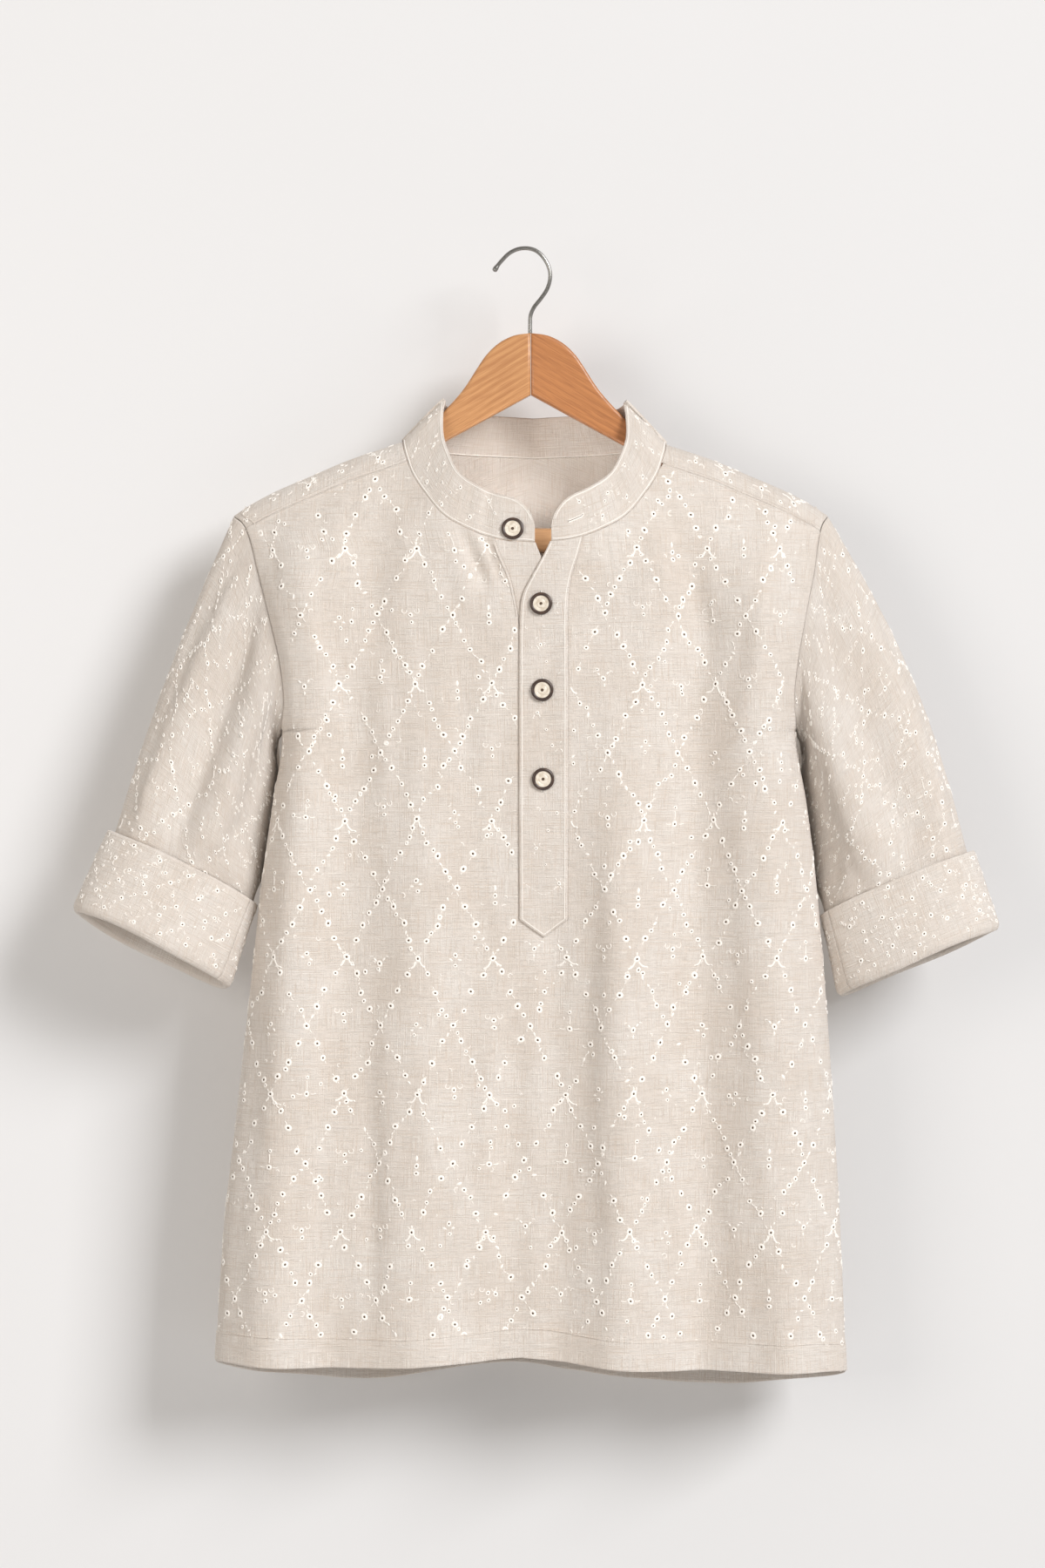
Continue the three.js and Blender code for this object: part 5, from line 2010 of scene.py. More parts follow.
@dataclass
class Yoke:
    """The yoke, over both shoulders and down to the seam across the back."""

    form: BodyForm
    finishes: Finishes
    cut: Cut = Cut(width=0.52, length=0.16, area=0.052)
    back_half: float = 150.0
    cloth: Unrolled = field(init=False)

    def __post_init__(self) -> None:
        """Lays the yoke's surface out flat, from its front seam over to the back."""
        self.reach_rows = np.linspace(4.4, -12.2, 120)
        x = np.linspace(-246, 246, 247)
        self.cloth = Unrolled.of(self.form.over_shoulder, x, self.reach_rows, (123, 198), -1)

    def _t_of(self, reach: Array) -> Array:
        """The place down the flat yoke of a reach over the shoulder."""
        return np.interp(-reach, -self.reach_rows, self.cloth.t)

    def _columns(self) -> dict[str, Array]:
        """The yoke's two long edges, column by column from the right armhole."""
        form = self.form
        shoulder = graded(125.0, 3.2)[:-1]
        count = 112
        angle = np.linspace(form.yoke_angle(Side.LEFT), form.yoke_angle(Side.RIGHT) + 360, count)
        turned = np.where(angle > 180, angle - 360, angle)[::-1]
        neck_x, neck_reach = form.neck_at(turned)
        ends = {side: form.neck_at(np.array(form.yoke_angle(side)))[0] for side in Side}
        blank = np.ones(len(shoulder))
        front = math.sqrt(form.yoke_drop)
        half = self.back_half
        middle = np.linspace(-half, half, count)
        return {
            "side": np.concatenate([-blank, np.zeros(count), blank]),
            "share": np.concatenate([shoulder, np.ones(count), shoulder[::-1]]),
            "x": np.concatenate([blank * ends[Side.RIGHT], neck_x, blank * ends[Side.LEFT]]),
            "reach": np.concatenate([blank * front, neck_reach, blank * front]),
            "back_x": np.concatenate([-blank * half, middle, blank * half]),
        }

    def build(self) -> bpy.types.Object:
        """Makes the yoke's cloth."""
        form, column = self.form, self._columns()
        back = graded_both(110.0, 3.0)[::-1][:, None]
        inner = mix(column["x"], column["back_x"], back)

        def reach_at(x: Array) -> Array:
            """The reach at the same share of the way back."""
            deep = -np.sqrt(form.shoulder_z(x) - form.yoke_back_z)
            return mix(column["reach"], deep, back)

        x = inner.copy()
        for _ in range(20):
            reach = reach_at(x)
            armhole = np.where(
                column["side"] < 0,
                form.armhole_x(Side.RIGHT, reach),
                form.armhole_x(Side.LEFT, reach),
            )
            wanted = mix(armhole, inner, column["share"])
            x = np.where(column["side"] == 0, inner, mix(x, wanted, 0.5))
        reach = reach_at(x)
        points = form.over_shoulder(x, reach)
        across = form.over_shoulder(x + 0.5, reach) - form.over_shoulder(x - 0.5, reach)
        over = form.over_shoulder(x, reach - 0.1) - form.over_shoulder(x, reach + 0.1)
        t = self._t_of(reach)
        flats = self.cloth.flat(x, t)
        mesh = Shell().build(points, unit(np.cross(across, over)), flats)
        return mesh.make("yoke_linen", [self.finishes.linen])

    def outline(self) -> Outline:
        """Where the embroidery may lie."""
        form = self.form
        reach = np.linspace(math.sqrt(form.yoke_drop), -7.2, 60)
        t = self._t_of(reach)
        edges = [self.cloth.s_of(form.armhole_x(side, reach), t) for side in Side]
        angle = np.linspace(-90, 90, 61)
        x, _ = form.neck_at(angle)
        _, back = form.neck_at(np.sign(angle) * (180 - np.abs(angle)))
        top_t = self._t_of(-np.abs(back))
        top_s = self.cloth.s_of(x, top_t)
        top = (
            np.concatenate([[top_s[0] - 0.5], top_s, [top_s[-1] + 0.5]]),
            np.concatenate([[0.0], top_t, [0.0]]),
        )
        return Outline(t, edges[0], edges[1], top)

    def dress(self) -> list[bpy.types.Object]:
        """Works the embroidery and the seams' stitches."""
        lattice = Lattice(first_s=-12.0, first_t=14.0, seed=17)
        work = [lattice.sew("yoke_embroidery", self.cloth, self.outline(), self.finishes)]
        mesh, stitch = Mesh(), Cording(width=0.8, height=0.3, step=2.0)
        for side in Side:
            x_end = float(self.form.neck_at(np.array(self.form.yoke_angle(side)))[0])
            x = np.linspace(x_end + side.value * 2, side.value * 228.0, 50)
            t = self._t_of(np.full(50, math.sqrt(self.form.yoke_drop))) + 2.2
            stitch.sew(mesh, self.cloth, self.cloth.flat(x, t))
        work.append(mesh.make("yoke_topstitch", [self.finishes.linen]))
        return work

    def make(self) -> None:
        """Builds the yoke and puts it in the frame."""
        self.cut.declare(self.build(), "yoke", self.dress())


@dataclass
class CollarBand:
    """The stand-up band round the neck, with round front corners."""

    form: BodyForm
    finishes: Finishes
    cut: Cut = Cut(
        width=0.53, length=0.037, area=0.0194, held="stretched", rests_on=("yoke_linen",)
    )
    lean: Track = Track(COLLAR_ANGLES, (5, 12, 23, 34, 20, 8))
    rise: Track = Track(COLLAR_ANGLES, (35, 36, 36, 34, 32, 32))
    right_end_x: float = 3.0
    left_end_x: float = 16.0
    corner: float = 25.0
    bulge: float = 0.9
    cloth: Unrolled = field(init=False)

    def __post_init__(self) -> None:
        """Lays the band out flat, from its top edge down."""
        angle = np.linspace(*self._ends(), 421)[None, :]
        share = np.linspace(1, 0, 25)[:, None]
        points = self.point(*np.broadcast_arrays(angle, share))
        s = Unrolled.lengths(points, 210)
        s = np.broadcast_to(s[12], s.shape).copy()
        across = np.broadcast_to(angle, s.shape).copy()
        self.cloth = Unrolled((1 - share[:, 0]) * COLLAR_HEIGHT, s, points, across)

    def _ends(self) -> tuple[float, float]:
        """The angles of the band's two ends."""
        return self.form.angle_of(self.left_end_x), 360 + self.form.angle_of(self.right_end_x)

    def point(self, angle: Array, share: Array) -> Array:
        """Points of the band at angles round the neck and shares of its height."""
        turned = np.where(angle > 180, angle - 360, angle)
        x, reach = self.form.neck_at(turned)
        found = self.form.over_shoulder(x, reach)
        lean = self.lean(np.abs(turned)) * share
        out = self.bulge * np.sin(math.pi * np.clip(share, 0, 1))
        out = out + 0.35 * np.sin(angle / 7.0) * share
        found[..., 0] += (out - lean) * sine(turned)
        found[..., 1] += (lean - out) * cosine(turned)
        found[..., 2] += self.rise(np.abs(turned)) * share + SEAM_GAP
        return found

    def _cut_back(self, angle: Array) -> Array:
        """The share of its height that the band keeps at angles, by its round corners."""
        start, end = self._ends()
        corner_angle = self.form.angle_of(self.form.neck_x + self.corner)
        near = 1 - np.minimum(angle - start, end - angle) / corner_angle
        near = np.clip(near, 0, 1)
        cut = self.corner * (1 - np.sqrt(1 - near * near))
        return 1 - cut / float(self.rise(0.0))

    def build(self) -> bpy.types.Object:
        """Makes the band's cloth."""
        start, end = self._ends()
        corner_angle = self.form.angle_of(self.form.neck_x + self.corner)
        turn = corner_angle * (1 - np.cos(np.linspace(0, math.pi / 2, 14)))
        body = np.linspace(start + corner_angle, end - corner_angle, 190)[1:-1]
        angle = np.concatenate([start + turn, body, (end - turn)[::-1]])[None, :]
        share = (1 - graded_both(COLLAR_HEIGHT, 2.6))[:, None] * self._cut_back(angle)
        angle, share = np.broadcast_arrays(angle, share)
        points = self.point(angle, share)
        down = self.point(angle, share - 0.02) - self.point(angle, share + 0.02)
        along = self.point(angle + 0.3, share) - self.point(angle - 0.3, share)
        t = (1 - share) * COLLAR_HEIGHT
        flats = self.cloth.flat(angle, t)
        mesh = Shell(BAND_CLOTH, 0.6).build(points, unit(np.cross(down, along)), flats)
        return mesh.make("collar_linen", [self.finishes.linen])

    def _run(self, inset: float, is_top: bool) -> Array:
        """A line along the band, a step in from its top or its base."""
        start, end = self._ends()
        angle = np.linspace(start + 0.8, end - 0.8, 400)
        share = self._cut_back(angle) if is_top else np.zeros(400)
        t = (1 - share) * COLLAR_HEIGHT
        if not is_top:
            return self.cloth.flat(angle, t - inset)
        path = np.stack([self.cloth.s_of(angle, t + inset), t], -1)
        run = unit(np.gradient(path, axis=0))
        path = path + inset * np.stack([-run[:, 1], run[:, 0]], -1)
        return path[path[:, 1] < 33.0]

    def dress(self) -> list[bpy.types.Object]:
        """Works the edge stitching, the buttonhole and a few eyelets."""
        mesh = Mesh()
        edge = Cording(width=0.8, height=0.3, step=1.6)
        edge.sew(mesh, self.cloth, self._run(2.1, True))
        edge.sew(mesh, self.cloth, self._run(1.6, False))
        cloth = self.cloth
        inner = cloth.points - cloth.normals * BAND_CLOTH
        inside = Unrolled(cloth.t, cloth.s, inner, cloth.across, -cloth.facing)
        edge.sew(mesh, inside, self._run(0.9, False)[60:-60])
        piping = mesh.make("collar_edge_stitch", [self.finishes.thread])
        rings = Lattice(
            node_step=27.0, row_step=17.0, first_s=8.0, first_t=9.0, between=0, seed=31, sprigs=0.0,
            scatter=0.5, arcs=0.7, ring=0.66, jitter=3.6, winged=False,
        )
        t = np.linspace(0, COLLAR_HEIGHT, 8)
        reach = float(self.cloth.s.max()) - 22
        area = Outline(t, np.full(8, -reach), np.full(8, reach))
        embroidery = rings.sew("collar_embroidery", self.cloth, area, self.finishes)
        return [piping, embroidery, self._buttonhole()]

    def _buttonhole(self) -> bpy.types.Object:
        """The worked slit near the band's left end, its opening a dark line of painted shade."""
        mesh = Mesh()
        angle = self.form.angle_of(30.0)
        s = float(self.cloth.s_of(np.array(angle), np.array(20.0)))
        slit = np.array([[s, 21.0], [s + 11.5, 19.4]])
        Cording(width=2.6, height=0.45, step=1.5).sew(mesh, self.cloth, slit, 0)
        # a narrow dark line of painted shade along the middle stands for the slit's opening
        Cording(width=0.7, height=0.62, step=1.5).sew(mesh, self.cloth, slit, 1)
        return mesh.make("collar_buttonhole", [self.finishes.thread, self.finishes.hole])

    def make(self) -> None:
        """Builds the band and puts it in the frame."""
        self.cut.declare(self.build(), "collar_band", self.dress())


class Band(Enum):
    """The placket's two bands."""

    OVER = "placket_over"
    UNDER = "placket_under"


@dataclass
class PlacketBand:
    """One of the two bands of the front opening."""

    form: BodyForm
    finishes: Finishes
    band: Band
    front: Unrolled
    shoulder_z: float = -536.0
    point_z: float = -550.0
    under_end_z: float = -530.4
    buttons: tuple[tuple[float, float], ...] = PLACKET_BUTTONS

    @property
    def raised(self) -> float:
        """How far the band's face is above the front's cloth."""
        if self.band is Band.OVER:
            return SEAM_GAP + BAND_CLOTH
        return -0.3

    @property
    def cut(self) -> Cut:
        """The band's flat size."""
        if self.band is Band.OVER:
            return Cut(0.039, 0.315, 0.0119, "folded", ("front_linen",))
        return Cut(0.034, 0.302, 0.0101, "folded", ("front_linen",))

    def _edges(self, z: Array) -> tuple[Array, Array]:
        """The band's two side edges."""
        if self.band is Band.OVER:
            return self.form.over_right(z), self.form.over_left(z)
        return self.form.under_right(z) + 2 * SEAM_GAP, self.form.under_left(z) - 2 * SEAM_GAP

    def _end_z(self, share: Array) -> Array:
        """The band's lower end at a share across it."""
        if self.band is Band.UNDER:
            return np.full(np.shape(share), self.under_end_z)
        return mix(self.shoulder_z, self.point_z, 1 - np.abs(2 * share - 1))

    def grid(self, share: Array, down: Array) -> tuple[Array, Array]:
        """Places on the band as x and z, by shares across it and down it."""
        share, down = np.broadcast_arrays(share, down)
        z = np.full(share.shape, -240.0)
        for _ in range(24):
            x = mix(*self._edges(z), share)
            z = mix(z, mix(self.form.front_top(x), self._end_z(share), down), 0.5)
        return mix(*self._edges(z), share), z

    def build(self) -> bpy.types.Object:
        """Makes the band's cloth."""
        share = graded_both(38.0, 2.2)[None, :]
        down = graded_both(300.0, 2.2)[:, None]
        x, z = self.grid(share, down)
        face = self.form.front
        normals = self.form.normal(face, x, z)
        points = self.form.point(face, x, z) + normals * self.raised
        flats = np.stack([self.front.s_of(x, -z) + 500, -z], axis=-1)
        mesh = Shell(BAND_CLOTH, 0.6).build(points, normals, flats)
        return mesh.make(self.band.value + "_linen", [self.finishes.linen])

    def _path(self, share: Array, down: Array) -> Array:
        """Flat places on the front under the band."""
        x, z = self.grid(share, down)
        return self.front.flat(x, -z)

    def dress(self) -> list[bpy.types.Object]:
        """Works the edge stitching, the buttonholes and a few eyelets."""
        if self.band is Band.UNDER:
            return []
        face = self.front.raised(self.raised)
        mesh, edge = Mesh(), Cording(width=0.75, height=0.28, step=1.8)
        inset = 2.2 / 38.0
        down = np.linspace(0.004, 0.993, 160)
        low = self._path(np.linspace(inset, 1 - inset, 21), np.array(0.993))
        edge.sew(mesh, face, self._path(np.array(inset), down))
        edge.sew(mesh, face, self._path(np.array(1 - inset), down))
        edge.sew(mesh, face, low)
        across = self._path(np.linspace(inset, 1 - inset, 12), np.array(0.895))
        Topstitch().sew(mesh, face, across)
        stitches = mesh.make("placket_edge_stitch", [self.finishes.thread])
        slits = Mesh()
        for x, z in self.buttons:
            s = float(self.front.s_of(np.array(x), np.array(-z)))
            slit = np.array([[s, -z - 10.2], [s, -z + 10.2]])
            Cording(width=2.2, height=0.4, step=1.7).sew(slits, face, slit, 0)
            # a narrow dark line of painted shade along the middle stands for the slit's opening
            Cording(width=0.6, height=0.55, step=1.7).sew(slits, face, slit, 1)
        holes = slits.make("placket_buttonholes", [self.finishes.thread, self.finishes.hole])
        lattice = Lattice(
            node_step=34.0, row_step=27.0, first_s=-2.0, first_t=318.0, between=0, seed=41,
            sprigs=0.0, scatter=0.1, arcs=0.5, ring=0.6, jitter=3.4, winged=False,
        )
        t = np.arange(268.0, 534.0, 4.0)
        right, left = self._edges(-t)
        area = Outline(
            t, self.front.s_of(right, t) + 2.5, self.front.s_of(left, t) - 2.5,
            holes=tuple(self._round(x, z) for x, z in self.buttons),
        )
        work = lattice.sew("placket_embroidery", face, area, self.finishes)
        return [stitches, holes, work]

    def _round(self, x: float, z: float) -> Outline:
        """The place that a button takes."""
        t = np.array([-z - 12.0, -z + 12.0])
        s = float(self.front.s_of(np.array(x), np.array(-z)))
        return Outline(t, np.full(2, s - 9.0), np.full(2, s + 9.0))

    def make(self) -> None:
        """Builds the band and puts it in the frame."""
        self.cut.declare(self.build(), self.band.value, self.dress())


# ---------------------------------------------------------------- sleeves and cuffs


@dataclass(frozen=True)
class RingFold:
    """A fold that runs down a sleeve at an angle round it."""

    angle: float
    height: float
    width: float

    def __call__(self, angle: Array) -> Array:
        """How far the fold stands out at angles round the sleeve."""
        return self.height * np.exp(-(((angle - self.angle) / self.width) ** 2))


@dataclass
class SleeveForm:
    """The form that a sleeve and its cuff share.

    Attributes:
        body: The body that the sleeve is sewn to.
        side: The wearer's side.
        mouth: The middle of the cuff's top edge.
        across: The direction to its outer side.
        down: The direction down the arm.
        cuff_length: Of the turned-up cuff.
        bulge: How far the sleeve's outer side stands out.
        folds: Its folds.
    """

    body: BodyForm
    side: Side
    mouth: tuple[float, float, float]
    across: tuple[float, float, float]
    down: tuple[float, float, float]
    cuff_length: float
    bulge: float
    folds: tuple[RingFold, ...]
    half_width: float = 62.0
    half_depth: float = 30.0
    tuck: float = 4.0
    clear: float = 3.0
    in_cuff: float = 20.0
    flare: float = 5.0
    full: float = 9.0
    shoulder_top: float = -214.0

    def armhole(self, angle: Array) -> Array:
        """The armhole by the angle round it: 0 at the shoulder, 90 in front, -90 behind."""
        body = self.body
        z = mix(self.shoulder_top, body.underarm_z, (1 - cosine(angle)) / 2)
        front = body.point(body.front, body.edge(self.side, z + 0.001, False), z)
        back = body.point(body.back, body.edge(self.side, z + 0.001, True), z)
        return np.where((angle < 0)[..., None], back, front)

    def ring(self, angle: Array, along: Array, out: Array) -> Array:
        """Points of the sleeve's end or its cuff, along from the mouth and out from the cloth."""
        down, across = np.array(self.down), np.array(self.across)
        front = unit(np.cross(down, across))
        front = front * -np.sign(front[1])
        flare = np.maximum(0, -cosine(angle)) * self.flare * along / self.cuff_length
        return (
            np.array(self.mouth)
            + down * np.asarray(along)[..., None]
            + across * ((self.half_width + out + flare) * cosine(angle))[..., None]
            + front * ((self.half_depth + out) * sine(angle))[..., None]
        )

    def point(self, angle: Array, level: Array, fine: Array | float = 0.0) -> Array:
        """Points of the sleeve by the angle round it and the level from armhole to mouth."""
        end = self.ring(angle, np.zeros(angle.shape), np.zeros(angle.shape))
        start = self.armhole(angle)
        found = mix(start, end, level[..., None])
        outward = unit(end - np.array(self.mouth))
        grown = smooth(level / 0.25) * (1 - 0.6 * smooth((level - 0.84) / 0.16))
        height = grown * sum(fold(angle) for fold in self.folds)
        found = found + outward * (height + fine)[..., None]
        outer = np.maximum(0, cosine(angle)) * sine(180 * level)
        found = found + np.array(self.across) * (self.bulge * outer)[..., None]
        return self._tucked(found, angle, level)

    def _tucked(self, found: Array, angle: Array, level: Array) -> Array:
        """Lets the inner side hang clear of the body's edge and in behind it."""
        body, side = self.body, self.side
        clear = side.value * self.clear * smooth(level / 0.06) * (1 - level)
        found[..., 0] += clear * (1 - cosine(angle)) / 2
        low = np.full(level.shape, 180.0)
        inner = mix(self.armhole(low), self.ring(low, 0 * level, 0 * level), level[..., None])
        tucked_x = body.edge(side, inner[..., 2] - 1, True) - side.value * self.tuck
        behind = body.point(body.back, tucked_x, inner[..., 2])
        share = np.maximum(0, -cosine(angle)) ** 3
        fades = 1 - smooth((level - 0.7) / 0.3)
        aside = smooth((level - 0.12) / 0.25) * fades
        swell = np.exp(-(((angle - 136) / 17) ** 2)) * smooth(level / 0.3)
        found[..., 1] -= self.full * swell * (1 - 0.5 * smooth((level - 0.8) / 0.2))
        found[..., 0] += (behind[..., 0] - inner[..., 0] - clear) * share * aside
        back = behind[..., 1] + CLOTH + 2.5 - inner[..., 1]
        found[..., 1] += back * share * smooth(level / 0.16) * fades
        return found


@dataclass
class Sleeve:
    """One sleeve, from the armhole into its cuff."""

    form: SleeveForm
    finishes: Finishes
    cut: Cut = Cut(width=0.41, length=0.31, area=0.072)
    seam_gap: float = 0.6
    rumple: Rumple = Rumple(seed=3, height=0.8, shortest=22, longest=80, lean=0.5)
    cloth: Unrolled = field(init=False)

    def __post_init__(self) -> None:
        """Lays the sleeve out flat, from the armhole down."""
        angle, rows = np.linspace(-180, 180, 241), np.linspace(0, 1, 121)
        facing = -self.form.side.value
        self.cloth = Unrolled.of(self.surface, angle, rows, (120, 120), facing)

    def surface(self, angle: Array, row: Array) -> Array:
        """Points of the sleeve by the angle and the share of the way down it."""
        form = self.form
        start = form.armhole(angle)
        end = form.ring(angle, 0 * angle, 0 * angle)
        length = np.linalg.norm(end - start, axis=-1)
        whole = length + form.in_cuff
        down = self.seam_gap + row * (whole - self.seam_gap)
        level = np.clip(down / length, 0, 1)
        inside = np.maximum(0, down - length)
        fine = self.rumple(angle * 1.25, level * 280.0) * smooth(level / 0.12)
        fine = fine * (1 - smooth((level - 0.86) / 0.14)) * (0.35 + 0.65 * np.abs(sine(angle)))
        found = form.point(angle, level, fine)
        ring = form.ring(angle, inside, 0 * angle)
        return np.where((inside > 0)[..., None], ring, found)

    def build(self) -> bpy.types.Object:
        """Makes the sleeve's cloth."""
        angle = np.linspace(-180, 180, 133)
        angle = np.concatenate([[-180, -179.2], angle[1:-1], [179.2, 180]])
        if self.form.side is Side.LEFT:
            angle = angle[::-1]
        row = graded(300.0, 2.9)[:, None]
        angle, row = np.broadcast_arrays(angle[None, :], row)
        points = self.surface(angle, row)
        turned, moved = angle + 0.8, np.minimum(row + 0.004, 1)
        along = self.surface(turned, row) - self.surface(angle - 0.8, row)
        down = self.surface(angle, moved) - self.surface(angle, np.maximum(row - 0.004, 0))
        normals = -self.form.side.value * unit(np.cross(down, along))
        t = np.interp(row, np.linspace(0, 1, 121), self.cloth.t)
        flats = self.cloth.flat(angle, t)
        mesh = Shell().build(points, normals, flats)
        return mesh.make(f"sleeve_{self.form.side.word}_linen", [self.finishes.linen])

    def dress(self) -> list[bpy.types.Object]:
        """Works the embroidery."""
        t = self.cloth.t
        area = Outline(t[:112], self.cloth.s[:112, 2], self.cloth.s[:112, -3])
        seed = 51 + self.form.side.value
        lattice = Lattice(
            node_step=52.0, row_step=48.0, first_s=11.0, first_t=30.0, seed=seed, scatter=3.4,
            sprigs=1.0, jitter=2.8, arcs=3.2, ring=0.84, winged=False, chest=1.3,
        )
        name = f"sleeve_{self.form.side.word}_embroidery"
        return [lattice.sew(name, self.cloth, area, self.finishes)]

    def make(self) -> None:
        """Builds the sleeve and puts it in the frame."""
        self.cut.declare(self.build(), f"sleeve_{self.form.side.word}", self.dress())


@dataclass
class Cuff:
    """A wide cuff, turned up over the end of its sleeve."""

    form: SleeveForm
    finishes: Finishes
    along: tuple[float, ...] = (0, 0.3, 0.6, 0.85, 0.95, 1, 0.95, 0.8, 0.55, 0.31)
    out: tuple[float, ...] = (4.5, 4.9, 5.5, 6.2, 5.6, 2.2, -1.3, -1.5, -1.5, -1.5)
    thickness: float = 2.0
    wave: float = 0.9
    open_down: float = 0.6
    open_right: float = 3.0
    seam_angle: float = 152.0
    cloth: Unrolled = field(init=False)

    def __post_init__(self) -> None:
        """Lays the cuff's outer side out flat, from its top edge down to the fold."""
        angle, rows = self.seam_angle + np.linspace(0, 360, 301), np.linspace(0, 4.0, 41)
        facing = -self.form.side.value
        self.cloth = Unrolled.of(self.surface, angle, rows, (150, 150), facing)

    @property
    def cut(self) -> Cut:
        """The cuff's flat size, outer and inner side together."""
        sleeve = (f"sleeve_{self.form.side.word}_linen",)
        return Cut(0.34, 0.12, 0.0385, "folded", sleeve)

    def surface(self, angle: Array, row: Array) -> Array:
        """Points of the cuff by the angle and the place along its section."""
        index = tuple(float(k) for k in range(len(self.along)))
        along = Track(index, self.along)(row) * self.form.cuff_length
        turn = np.radians(angle)
        loose = 1 - smooth(row / 3.0)
        out = Track(index, self.out)(row) + loose * self.wave * (
            0.7 * np.sin(3 * turn + 0.7) + 0.5 * np.sin(5 * turn + 2.0) + 0.6
        )
        out = out + 0.5 * np.sin(7 * turn + row) * np.clip(1 - row / 5.0, 0, 1)
        rim = along + loose * 0.8 * np.sin(2 * turn + 1.0)
        rim = rim + 0.5 * np.sin(4 * turn) * smooth(row / 4)
        opened = self.open_right if self.form.side is Side.RIGHT else self.open_down
        rim = rim - opened * np.sin(turn) * np.clip(along / self.form.cuff_length, 0, 1) ** 2
        return self.form.ring(angle, rim, out)

    def build(self) -> bpy.types.Object:
        """Makes the cuff's cloth."""
        even = np.linspace(0, 360, 133)[1:-1]
        angle = self.seam_angle + np.concatenate([[0, 0.8], even, [359.2, 360]])
        if self.form.side is Side.LEFT:
            angle = angle[::-1]
        rows = [np.linspace(*part)[1:] for part in ((0.08, 3, 24), (3, 6, 22), (6, 9, 9))]
        row = np.concatenate([[0, 0.03, 0.08], *rows])[:, None]
        angle, row = np.broadcast_arrays(angle[None, :], row)
        points = self.surface(angle, row)
        along = self.surface(angle + 0.8, row) - self.surface(angle - 0.8, row)
        down = self.surface(angle, row + 0.03) - self.surface(angle, row - 0.03)
        ends = self.surface(angle, row + 0.05) - points
        down = np.where((row <= 0)[..., None], ends, down)
        normals = -self.form.side.value * unit(np.cross(down, along))
        t = travelled(points[:, 60])
        s = self.cloth.s_of(angle, np.minimum(t, self.cloth.t[-1])[:, None])
        flats = np.stack([s + 1000, np.broadcast_to(t[:, None], s.shape)], axis=-1)
        mesh = Shell(self.thickness, 0.5).build(points, normals, flats)
        return mesh.make(f"cuff_{self.form.side.word}_linen", [self.finishes.linen])

    def dress(self) -> list[bpy.types.Object]:
        """Works the embroidery and the stitches along the edges."""
        word = self.form.side.word
        area = Outline(self.cloth.t, self.cloth.s[:, 2], self.cloth.s[:, -3])
        lattice = Lattice(
            node_step=26.0, row_step=13.0, first_s=7.0, first_t=8.0, seed=71 + self.form.side.value,
            scatter=0.6, sprigs=0.0, jitter=4.2, between=0, arcs=1.7, ring=0.76, winged=False,
        )
        work = [lattice.sew(f"cuff_{word}_embroidery", self.cloth, area, self.finishes)]
        mesh, stitch = Mesh(), Topstitch()
        s = self.cloth.s[20, 3:-3]
        stitch.sew(mesh, self.cloth, np.stack([s, np.full(s.shape, 2.6)], -1))
        stitch.sew(mesh, self.cloth, np.stack([s, np.full(s.shape, self.form.cuff_length - 8)], -1))
        work.append(mesh.make(f"cuff_{word}_topstitch", [self.finishes.linen]))
        return work

    def make(self) -> None:
        """Builds the cuff and puts it in the frame."""
        self.cut.declare(self.build(), f"cuff_{self.form.side.word}", self.dress())


# ---------------------------------------------------------------- buttons


def seat(made: bpy.types.Object, node: str) -> None:
    """Puts a rigid piece in the frame, in the place of its node.

    Args:
        made: The piece.
        node: The part's node that it replaces.
    """
    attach(made, "root")
    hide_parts(node)
    log.info("%s: %d faces", made.name, len(made.data.polygons))


@dataclass
class Button:
    """A turned button with a dark rim round a cream inlay, and its thread.

    Attributes:
        name: The part's node.
        middle: The middle of its back.
        facing: The direction that it faces.
    """

    name: str
    middle: Array
    facing: Array
    finishes: Finishes
    radius: float = 8.9
    thickness: float = 2.6
    inlay: float = 5.9
    sides: int = 56

    def _profile(self) -> tuple[Array, Array]:
        """Radii and heights from the back's middle round to the inlay's edge."""
        turn = np.linspace(-math.pi / 2, math.pi, 15)
        rim = (self.radius - self.inlay) / 2
        radius = self.inlay + rim + (rim - 0.05) * np.cos(turn)
        height = self.thickness / 2 + self.thickness / 2 * np.sin(turn)
        keep = (turn < 2.75) & (height >= 0)
        return np.concatenate([[2.0], radius[keep]]), np.concatenate([[0.0], height[keep]])

    def build(self) -> bpy.types.Object:
        """Makes the button."""
        mesh = Mesh()
        radius, height = self._profile()
        self._turned(mesh, radius, height, 0)
        face = self.thickness - 0.85
        inner = np.array([self.inlay + 0.35, 4.6, 4.0, 3.85, 3.7, 2.2, 1.1])
        level = face + np.array([0.1, -0.05, -0.1, -0.32, -0.12, -0.25, -0.35])
        self._turned(mesh, inner, level, 1)
        # the thread in the middle takes the same dark colour as the painted shade of the eyelets'
        # holes
        thread = np.array([1.2, 1.05, 0.6, 0.06])
        self._turned(mesh, thread, face + np.array([-0.4, 0.05, 0.22, 0.28]), 2)
        finishes = self.finishes
        return mesh.make(self.name + "_turned", [finishes.horn, finishes.inlay, finishes.hole])

    def _turned(self, mesh: Mesh, radius: Array, height: Array, finish: int) -> None:
        """Adds a turned surface about the button's middle."""
        facing = unit(self.facing)
        across = unit(np.cross([0.0, 0.0, 1.0], facing))
        up = np.cross(facing, across)
        turn = np.linspace(0, 2 * math.pi, self.sides, endpoint=False)
        ring = np.cos(turn)[:, None] * across + np.sin(turn)[:, None] * up
        points = self.middle + radius[:, None, None] * ring + height[:, None, None] * facing
        quads = mesh.add_points(points) + grid_quads(len(radius), self.sides, True)
        mesh.add_faces(quads[:, [0, 3, 2, 1]], finish)

    def make(self) -> None:
        """Builds the button and puts it in the frame."""
        seat(self.build(), self.name)


